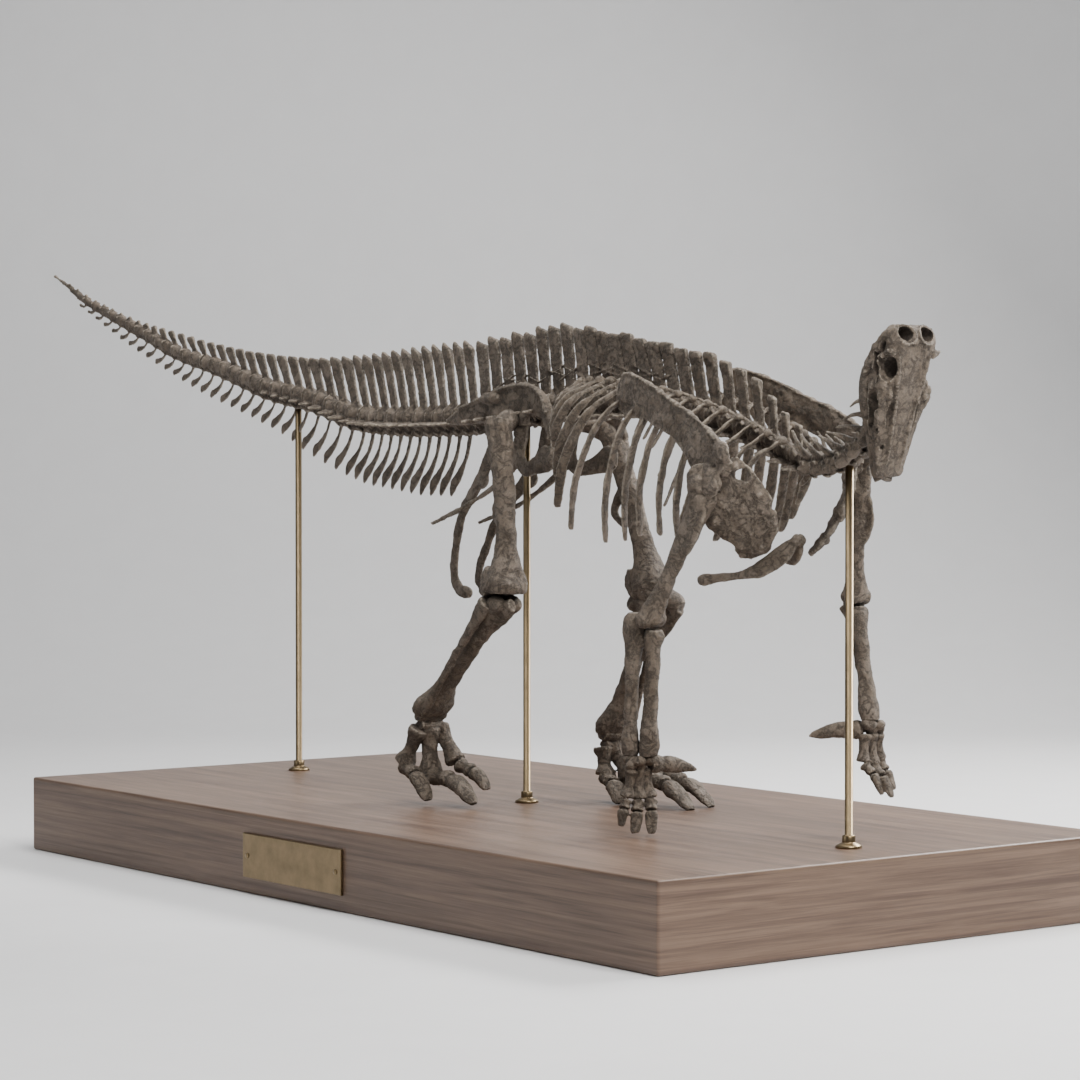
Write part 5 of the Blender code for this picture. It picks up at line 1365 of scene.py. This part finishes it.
def build_leg(hand, tag):
    """Thigh bone, two shin bones and foot of one side."""
    hip, knee, ankle = LEGS[tag]
    leg = (knee - hip).normalized()
    femur = Clay()
    femur.shaft(hip, knee - leg * 0.03, FEMUR, SIDE_Y, Vector((0.03, 0, 0)))
    femur.tube([
        (hip.x - 0.005, hip.y - hand * 0.01, hip.z - 0.07, 0.12, 0.13),
        (hip.x - 0.05, hand * 0.32, hip.z - 0.045, 0.095, 0.1),
        (hip.x - 0.08, hand * 0.27, hip.z - 0.022, 0.12, 0.12),
        (hip.x - 0.095, hand * 0.235, hip.z - 0.01, 0.13, 0.13),
        (hip.x - 0.1, hand * 0.212, hip.z - 0.006, 0.1, 0.1)], Vector((1, 0, 0)), 5, 18)
    femur.shaft(hip + Vector((0.06, hand * 0.034, 0.0)),
                hip.lerp(knee, 0.24) + Vector((0.066, hand * 0.026, 0)),
                [(0, 0.04, 0.05), (0.15, 0.058, 0.072), (0.6, 0.056, 0.06), (1, 0.03, 0.034)],
                SIDE_Y)
    middle = hip.lerp(knee, 0.5)
    femur.tube([
        beside(middle, 0.0, -hand * 0.03, 0.15, 0.04, 0.06),
        beside(middle, -0.07, -hand * 0.03, 0.06, 0.04, 0.08),
        beside(middle, -0.11, -hand * 0.03, -0.04, 0.03, 0.05),
        beside(middle, -0.03, -hand * 0.02, -0.11, 0.03, 0.05)], SIDE_Y, 4, 12)
    for y in (-0.062, 0.062):
        femur.tube([
            beside(knee - leg * 0.17, -0.03, y, 0, 0.09, 0.1),
            beside(knee - leg * 0.09, -0.06, y, 0, 0.11, 0.15),
            beside(knee - leg * 0.045, -0.035, y, 0, 0.11, 0.16)], SIDE_Y, 4, 14)
        femur.tube([
            beside(knee - leg * 0.16, 0.05, y * 0.8, 0, 0.06, 0.06),
            beside(knee - leg * 0.07, 0.07, y * 0.9, 0, 0.09, 0.1)], SIDE_Y, 4, 12)
    melt("femur_bone_" + tag, femur, ["femur_" + tag], seed=51, lumps=1.3)
    shin = (ankle - knee).normalized()
    tibia = Clay()
    tibia.shaft(knee + leg * 0.02 + Vector((SHIN_SHIFT[tag], 0, 0)), ankle, TIBIA, SIDE_Y)
    tibia.tube([
        beside(knee + leg * 0.03, 0.085, hand * 0.02, 0, 0.054, 0.08),
        beside(knee.lerp(ankle, 0.1), 0.085, hand * 0.02, 0, 0.056, 0.09),
        beside(knee.lerp(ankle, 0.28), 0.03, 0, 0, 0.036, 0.05)], SIDE_Y, 4, 14)
    for y in (-0.055, 0.055):
        tibia.lump(knee + shin * 0.045 + Vector((-0.075, y, 0)), (0.12, 0.105, 0.105))
        tibia.lump(knee + shin * 0.05 + Vector((0.01, y, 0)), (0.15, 0.1, 0.11))
    if hand > 0:
        tibia.tube([
            beside(knee, -0.08, -0.08, 0.05, 0.11, 0.11),
            beside(knee, 0.02, -0.01, 0.02, 0.2, 0.13),
            beside(knee, 0.12, 0.05, -0.03, 0.13, 0.11),
            beside(knee, 0.165, 0.065, -0.06, 0.08, 0.09)], SIDE_Y, 5, 16)
        tibia.tube([
            beside(knee, 0.15, 0.06, -0.06, 0.07, 0.09),
            beside(knee + shin * 0.24, 0.11, 0.03, 0, 0.06, 0.11),
            beside(knee + shin * 0.42, 0.04, 0.0, 0, 0.05, 0.07)], SIDE_Y, 5, 14)
    for y in (-0.06, 0.055):
        tibia.lump(ankle - shin * 0.03 + Vector((0.01, y, 0)), (0.105, 0.1, 0.09))
    melt("tibia_bone_" + tag, tibia, ["tibia_" + tag], seed=53, lumps=1.3)
    outer = Vector((-0.03, hand * 0.105, 0))
    fibula = Clay()
    fibula.shaft(knee + shin * 0.03 + outer, ankle + Vector((0.05, hand * 0.08, 0)), FIBULA,
                 SIDE_Y)
    melt("fibula_bone_" + tag, fibula, ["fibula_" + tag], seed=55)
    foot = Clay()
    foot.tube([
        beside(ankle, 0.0, -0.085, -0.012, 0.11, 0.08),
        beside(ankle, 0.012, 0.0, -0.02, 0.12, 0.09),
        beside(ankle, 0.0, 0.085, -0.012, 0.105, 0.078)], Vector((1, 0, 0)), 5, 16)
    foot.tube([
        beside(ankle, 0.0, -0.07, -0.075, 0.1, 0.05),
        beside(ankle, 0.005, 0.0, -0.082, 0.11, 0.056),
        beside(ankle, 0.0, 0.075, -0.075, 0.095, 0.05)], Vector((1, 0, 0)), 5, 16)
    for index, (knuckle, tip) in enumerate(TOES[tag]):
        spread = hand * (index - 1) * 0.072
        start = ankle + Vector((0.0, spread, -0.095))
        build_digit(foot, start, knuckle, tip, TOE_WIDTH[index])
    melt("foot_bones_" + tag, foot, ["foot_" + tag], fine=1, seed=57, relief=1.3, lumps=1.2)


def build_arm(hand, tag):
    """Upper arm bone, two forearm bones, hand and thumb spike of one side."""
    shoulder, elbow, wrist = ARMS[tag]
    upper = (elbow - shoulder).normalized()
    humerus = Clay()
    humerus.shaft(shoulder, elbow - upper * 0.02, HUMERUS, SIDE_Y)
    humerus.tube([
        (*shoulder.lerp(elbow, 0.06), 0.05, 0.09),
        beside(shoulder.lerp(elbow, 0.2), 0.05, hand * 0.02, 0, 0.044, 0.1),
        beside(shoulder.lerp(elbow, 0.38), 0.056, hand * 0.02, 0, 0.04, 0.09),
        beside(shoulder.lerp(elbow, 0.52), 0.01, 0, 0, 0.04, 0.06)], SIDE_Y, 5, 14)
    humerus.lump(shoulder + Vector((-0.02, 0, 0.005)), (0.135, 0.14, 0.12))
    for y in (-0.045, 0.045):
        humerus.lump(elbow - upper * 0.045 + Vector((0.004, y, 0)), (0.105, 0.095, 0.1))
    melt("humerus_bone_" + tag, humerus, ["humerus_" + tag], seed=61, lumps=1.2)
    fore = (wrist - elbow).normalized()
    back = Vector((-1, 0, 0))
    ulna = Clay()
    ulna_top = elbow + back * 0.07 + Vector((0, hand * 0.03, 0.075))
    ulna_low = wrist + back * 0.034 + Vector((0, hand * 0.04, 0))
    ulna.shaft(ulna_top, ulna_low, [(a, b * 1.22, c * 1.2) for a, b, c in ULNA], SIDE_Y)
    ulna.shaft(elbow + back * 0.062 + fore * 0.01, elbow + fore * 0.11 + back * 0.02,
               [(0, 0.11, 0.1), (1, 0.07, 0.08)], SIDE_Y)
    melt("ulna_bone_" + tag, ulna, ["ulna_" + tag], seed=63, lumps=1.2)
    radius = Clay()
    radius.shaft(elbow + Vector((0.034, -hand * 0.022, 0.0)) + fore * 0.015,
                 wrist + Vector((0.036, -hand * 0.03, 0)),
                 [(a, b * 1.18, c * 1.2) for a, b, c in RADIUS], SIDE_Y)
    melt("radius_bone_" + tag, radius, ["radius_" + tag], seed=65, lumps=1.2)
    palm = Clay()
    for x, y, z, size in ((0.034, -0.042, 0.018, 0.078), (-0.03, 0.036, 0.02, 0.082),
                          (0.036, 0.03, 0.026, 0.066), (-0.022, -0.03, 0.04, 0.064),
                          (0.004, 0.056, 0.05, 0.06), (0.004, 0.0, 0.052, 0.066)):
        palm.lump(wrist + fore * z + Vector((x, hand * y, 0)), (size * 1.1, size * 1.1, size * 0.9))
    for index, (knuckle, tip) in enumerate(FINGERS[tag]):
        start = wrist + fore * 0.075 + Vector((0, hand * (index - 1) * 0.046, 0))
        build_digit(palm, start, knuckle, tip, FINGER_WIDTH * 1.16)
    melt("hand_bones_" + tag, palm, ["hand_" + tag], fine=1, seed=67, lumps=0.7)
    base, point = THUMBS[tag]
    thumb = Clay()
    thumb.shaft(base, point, [(0.0, 0.09, 0.07), (0.1, 0.105, 0.088), (0.24, 0.082, 0.066),
                              (0.34, 0.094, 0.07), (0.6, 0.076, 0.052), (0.86, 0.044, 0.03),
                              (1.0, 0.012, 0.01)], UP, Vector((0.0, 0, 0.012)))
    melt("thumb_spike_" + tag, thumb, ["thumb_" + tag], fine=1, seed=69, lumps=0.8)


# Stand


def bevelled_box(name, low, high, width, made_of):
    """A box with rounded edges, its place in its mesh."""
    mesh = bpy.data.meshes.new(name)
    work = bmesh.new()
    bmesh.ops.create_cube(work, size=1.0)
    size = [b - a for a, b in zip(low, high)]
    middle = [(a + b) / 2 for a, b in zip(low, high)]
    bmesh.ops.scale(work, vec=size, verts=work.verts[:])
    bmesh.ops.translate(work, vec=middle, verts=work.verts[:])
    bmesh.ops.bevel(work, geom=work.edges[:], offset=width, segments=4, profile=0.6,
                    affect="EDGES")
    work.to_mesh(mesh)
    work.free()
    for face in mesh.polygons:
        face.use_smooth = True
    mesh.materials.append(made_of)
    made = linked_object(name, mesh)
    made.modifiers.new("Flat Faces", "WEIGHTED_NORMAL").keep_sharp = True
    settle(made)
    return made


def turned(name, centre, profile, made_of, sides=48):
    """A turned piece from rows of height and radius, standing at a centre."""
    clay = Clay()
    clay.rings([[Vector((centre[0] + radius * cos(2 * pi * k / sides),
                         centre[1] + radius * sin(2 * pi * k / sides), z))
                 for k in range(sides)] for z, radius in profile])
    made = clay.build(name)
    for face in made.data.polygons:
        face.use_smooth = len(face.vertices) == 4
    made.data.materials.append(made_of)
    return made


def build_stand():
    """Base, plaque with its two screws, and three rods with their feet."""
    look = bpy.context.scene.stand_settings
    wood = once("materials", "base_wood", wood_material)
    base = bevelled_box("base", BASE_LOW, BASE_HIGH, 0.018, wood)
    mount(base, ["stand_base"])
    brass = once("materials", "aged_brass", lambda: brass_material("aged_brass", 0.3))
    plate = once("materials", "plaque_brass", lambda: brass_material("plaque_brass", 0.36))
    plaque = bevelled_box("plaque", PLAQUE_LOW, PLAQUE_HIGH, 0.005, plate)
    mount(plaque, ["stand_plaque"])
    for tag in ("rear", "front"):
        low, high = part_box("stand_screw_" + tag)
        centre = [(a + b) / 2 for a, b in zip(low, high)]
        radius = (high[0] - low[0]) / 2
        clay = Clay()
        rings = []
        for depth, wide in ((0.0, 1.0), (0.35, 1.0), (0.75, 0.82), (1.0, 0.4)):
            y = high[1] + (low[1] - high[1]) * depth
            rings.append([Vector((centre[0] + radius * wide * cos(2 * pi * k / 24), y,
                                  centre[2] + radius * wide * sin(2 * pi * k / 24)))
                          for k in range(24)])
        clay.rings(rings)
        screw = clay.build("screw_" + tag)
        for face in screw.data.polygons:
            face.use_smooth = True
        screw.data.materials.append(brass)
        mount(screw, ["stand_screw_" + tag])
    for tag in ("tail", "hip", "neck"):
        low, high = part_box("stand_rod_" + tag)
        centre = [(low[0] + high[0]) / 2, (low[1] + high[1]) / 2]
        foot = look.flange_radius
        z = BASE_TOP
        rod = turned("rod_" + tag, centre, [
            (z, foot), (z + 0.01, foot), (z + 0.016, foot - 0.006), (z + 0.026, foot * 0.62),
            (z + 0.03, foot * 0.5), (z + 0.031, 0.034), (z + 0.062, 0.034), (z + 0.066, 0.03),
            (z + 0.067, look.rod_radius), (high[2], look.rod_radius)], brass)
        mount(rod, ["stand_rod_" + tag])


# Stage


def area_light(name, place, target, size, watts, colour=(1, 1, 1)):
    lamp = bpy.data.lights.new(name, "AREA")
    lamp.shape = "RECTANGLE"
    lamp.size, lamp.size_y = size
    lamp.energy = watts
    lamp.color = colour
    made = linked_object(name, lamp)
    made.location = place
    made.rotation_euler = (Vector(target) - Vector(place)).to_track_quat("-Z", "Y").to_euler()
    return made


def floor_material():
    """Matt pale floor, clear when seen from below or from behind the backdrop."""
    made, nodes, shader = new_material("floor", 0.55, 0.0)
    noise = nodes.noise(nodes.place(), 3.0, 8.0)
    colour = tuple(bpy.context.scene.stage_settings.floor[:3])
    nodes.feed(shader, {
        "Base Color": nodes.scaled(colour, nodes.spread(noise, 0.0, 1.0, 0.97, 1.03)),
        "Normal": nodes.bump(0.04, 0.001, noise)})
    seen = nodes.first("ShaderNodeMixShader", {
        0: nodes.add("ShaderNodeNewGeometry").outputs["Backfacing"],
        1: shader.outputs[0], 2: nodes.first("ShaderNodeBsdfTransparent")})
    nodes.feed(made.node_tree.nodes["Material Output"], {"Surface": seen})
    return made


def build_stage():
    """Floor with a curved backdrop, soft lights, world and the photograph's camera."""
    look = bpy.context.scene.stage_settings
    forward = Vector((-sin(CAMERA_TURN), cos(CAMERA_TURN), 0))
    across = Vector((forward.y, -forward.x, 0))
    near, far, top, half_width = -20.0, 16.0, 30.0, 40.0
    bend, bend_steps = 6.0, 16
    profile = [(near, 0.0)]
    profile += [(far - bend + bend * sin(a), bend - bend * cos(a))
                for a in (pi / 2 * step / bend_steps for step in range(bend_steps + 1))]
    profile.append((far, top))
    points, faces = [], []
    for ahead, up in profile:
        for wide in (-half_width, half_width):
            points.append(tuple(forward * ahead + across * wide + UP * (up - 0.001)))
    for row in range(len(profile) - 1):
        a = row * 2
        faces.append((a, a + 1, a + 3, a + 2))
    mesh = bpy.data.meshes.new("floor")
    mesh.from_pydata(points, [], faces)
    for face in mesh.polygons:
        face.use_smooth = True
    floor = linked_object("floor", mesh)
    mesh.materials.append(once("materials", "floor", floor_material))
    watts = look.key_watts
    lights = [
        area_light("key", (9.0, -1.0, 9.0), (0, 0, 2), (5.0, 5.0), watts, (1.0, 0.98, 0.95)),
        area_light("left_fill", (-4.0, -13.0, 6.0), (-0.5, 0, 2), (8.0, 5.0), watts * 0.16,
                   (0.94, 0.97, 1.0)),
        area_light("rim", (2.0, 9.0, 8.0), (0, 0, 2.2), (9.0, 3.0), watts * 1.7,
                   (1.0, 0.98, 0.96)),
        area_light("top", (-1.0, -1.0, 11.0), (-1.0, 0, 0), (10.0, 5.0), watts * 0.6),
    ]
    world = bpy.data.worlds.new("studio")
    world.use_nodes = True
    nodes = Nodes(world.node_tree)
    seen = nodes.add("ShaderNodeLightPath").outputs["Is Camera Ray"]
    nodes.feed(world.node_tree.nodes["Background"], {
        0: (0.9, 0.93, 0.97, 1.0), 1: nodes.math("MULTIPLY_ADD", seen, 0.45, 0.15)})
    bpy.context.scene.world = world
    lens = bpy.data.cameras.new("view")
    lens.lens = CAMERA_LENS
    lens.sensor_width = 36.0
    lens.clip_end = 200.0
    camera = linked_object("view", lens)
    camera.location = CAMERA_PLACE
    camera.rotation_euler = (CAMERA_TILT, 0, CAMERA_TURN)
    bpy.context.scene.camera = camera


# Operators


class SKELETON_OT_backbone(bpy.types.Operator):
    """Build the tail, sacrum, back, ribs and neck"""
    bl_idname = "skeleton.backbone"
    bl_label = "Backbone"

    def execute(self, context):
        shapes = Shapes()
        build_tail(shapes)
        build_sacrum(shapes)
        build_back(shapes)
        build_neck(shapes)
        shapes.clear()
        for hand, tag in SIDES:
            build_ribs(hand, tag)
        return {"FINISHED"}


class SKELETON_OT_skull(bpy.types.Operator):
    """Build the skull and the lower jaw"""
    bl_idname = "skeleton.skull"
    bl_label = "Skull"

    def execute(self, context):
        build_skull()
        return {"FINISHED"}


class SKELETON_OT_girdles(bpy.types.Operator):
    """Build the shoulder girdle and the hip bones"""
    bl_idname = "skeleton.girdles"
    bl_label = "Girdles"

    def execute(self, context):
        for hand, tag in SIDES:
            build_girdle(hand, tag)
            build_pelvis(hand, tag)
        return {"FINISHED"}


class SKELETON_OT_limbs(bpy.types.Operator):
    """Build the legs and the arms"""
    bl_idname = "skeleton.limbs"
    bl_label = "Limbs"

    def execute(self, context):
        for hand, tag in SIDES:
            build_leg(hand, tag)
            build_arm(hand, tag)
        return {"FINISHED"}


class SKELETON_OT_stand(bpy.types.Operator):
    """Build the wooden base, the plaque and the rods"""
    bl_idname = "skeleton.stand"
    bl_label = "Stand"

    def execute(self, context):
        build_stand()
        return {"FINISHED"}


class SKELETON_OT_stage(bpy.types.Operator):
    """Set the floor, the lights and the camera"""
    bl_idname = "skeleton.stage"
    bl_label = "Stage"

    def execute(self, context):
        build_stage()
        return {"FINISHED"}


OPERATORS = (SKELETON_OT_backbone, SKELETON_OT_skull, SKELETON_OT_girdles, SKELETON_OT_limbs,
             SKELETON_OT_stand, SKELETON_OT_stage)


class SKELETON_PT_panel(bpy.types.Panel):
    """Buttons for each group of pieces, and their settings"""
    bl_idname = "SKELETON_PT_panel"
    bl_label = "Mounted Skeleton"
    bl_space_type = "VIEW_3D"
    bl_region_type = "UI"
    bl_category = "Skeleton"

    def draw(self, context):
        for operator in OPERATORS:
            self.layout.operator(operator.bl_idname)
        for name in SETTINGS:
            group = getattr(context.scene, name)
            for key in group.bl_rna.properties.keys():
                if key not in ("rna_type", "name"):
                    self.layout.prop(group, key)


SETTINGS = {
    "skeleton_settings": SkeletonSettings,
    "stand_settings": StandSettings,
    "stage_settings": StageSettings,
}


def register():
    for kind in (*SETTINGS.values(), *OPERATORS, SKELETON_PT_panel):
        bpy.utils.register_class(kind)
    for name, kind in SETTINGS.items():
        setattr(bpy.types.Scene, name, bpy.props.PointerProperty(type=kind))


def unregister():
    for name in SETTINGS:
        delattr(bpy.types.Scene, name)
    for kind in (SKELETON_PT_panel, *OPERATORS[::-1], *SETTINGS.values()):
        bpy.utils.unregister_class(kind)


def main():
    register()
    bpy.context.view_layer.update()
    bpy.ops.skeleton.backbone()
    bpy.ops.skeleton.skull()
    bpy.ops.skeleton.girdles()
    bpy.ops.skeleton.limbs()
    bpy.ops.skeleton.stand()
    bpy.ops.skeleton.stage()


if __name__ == "__main__":
    main()
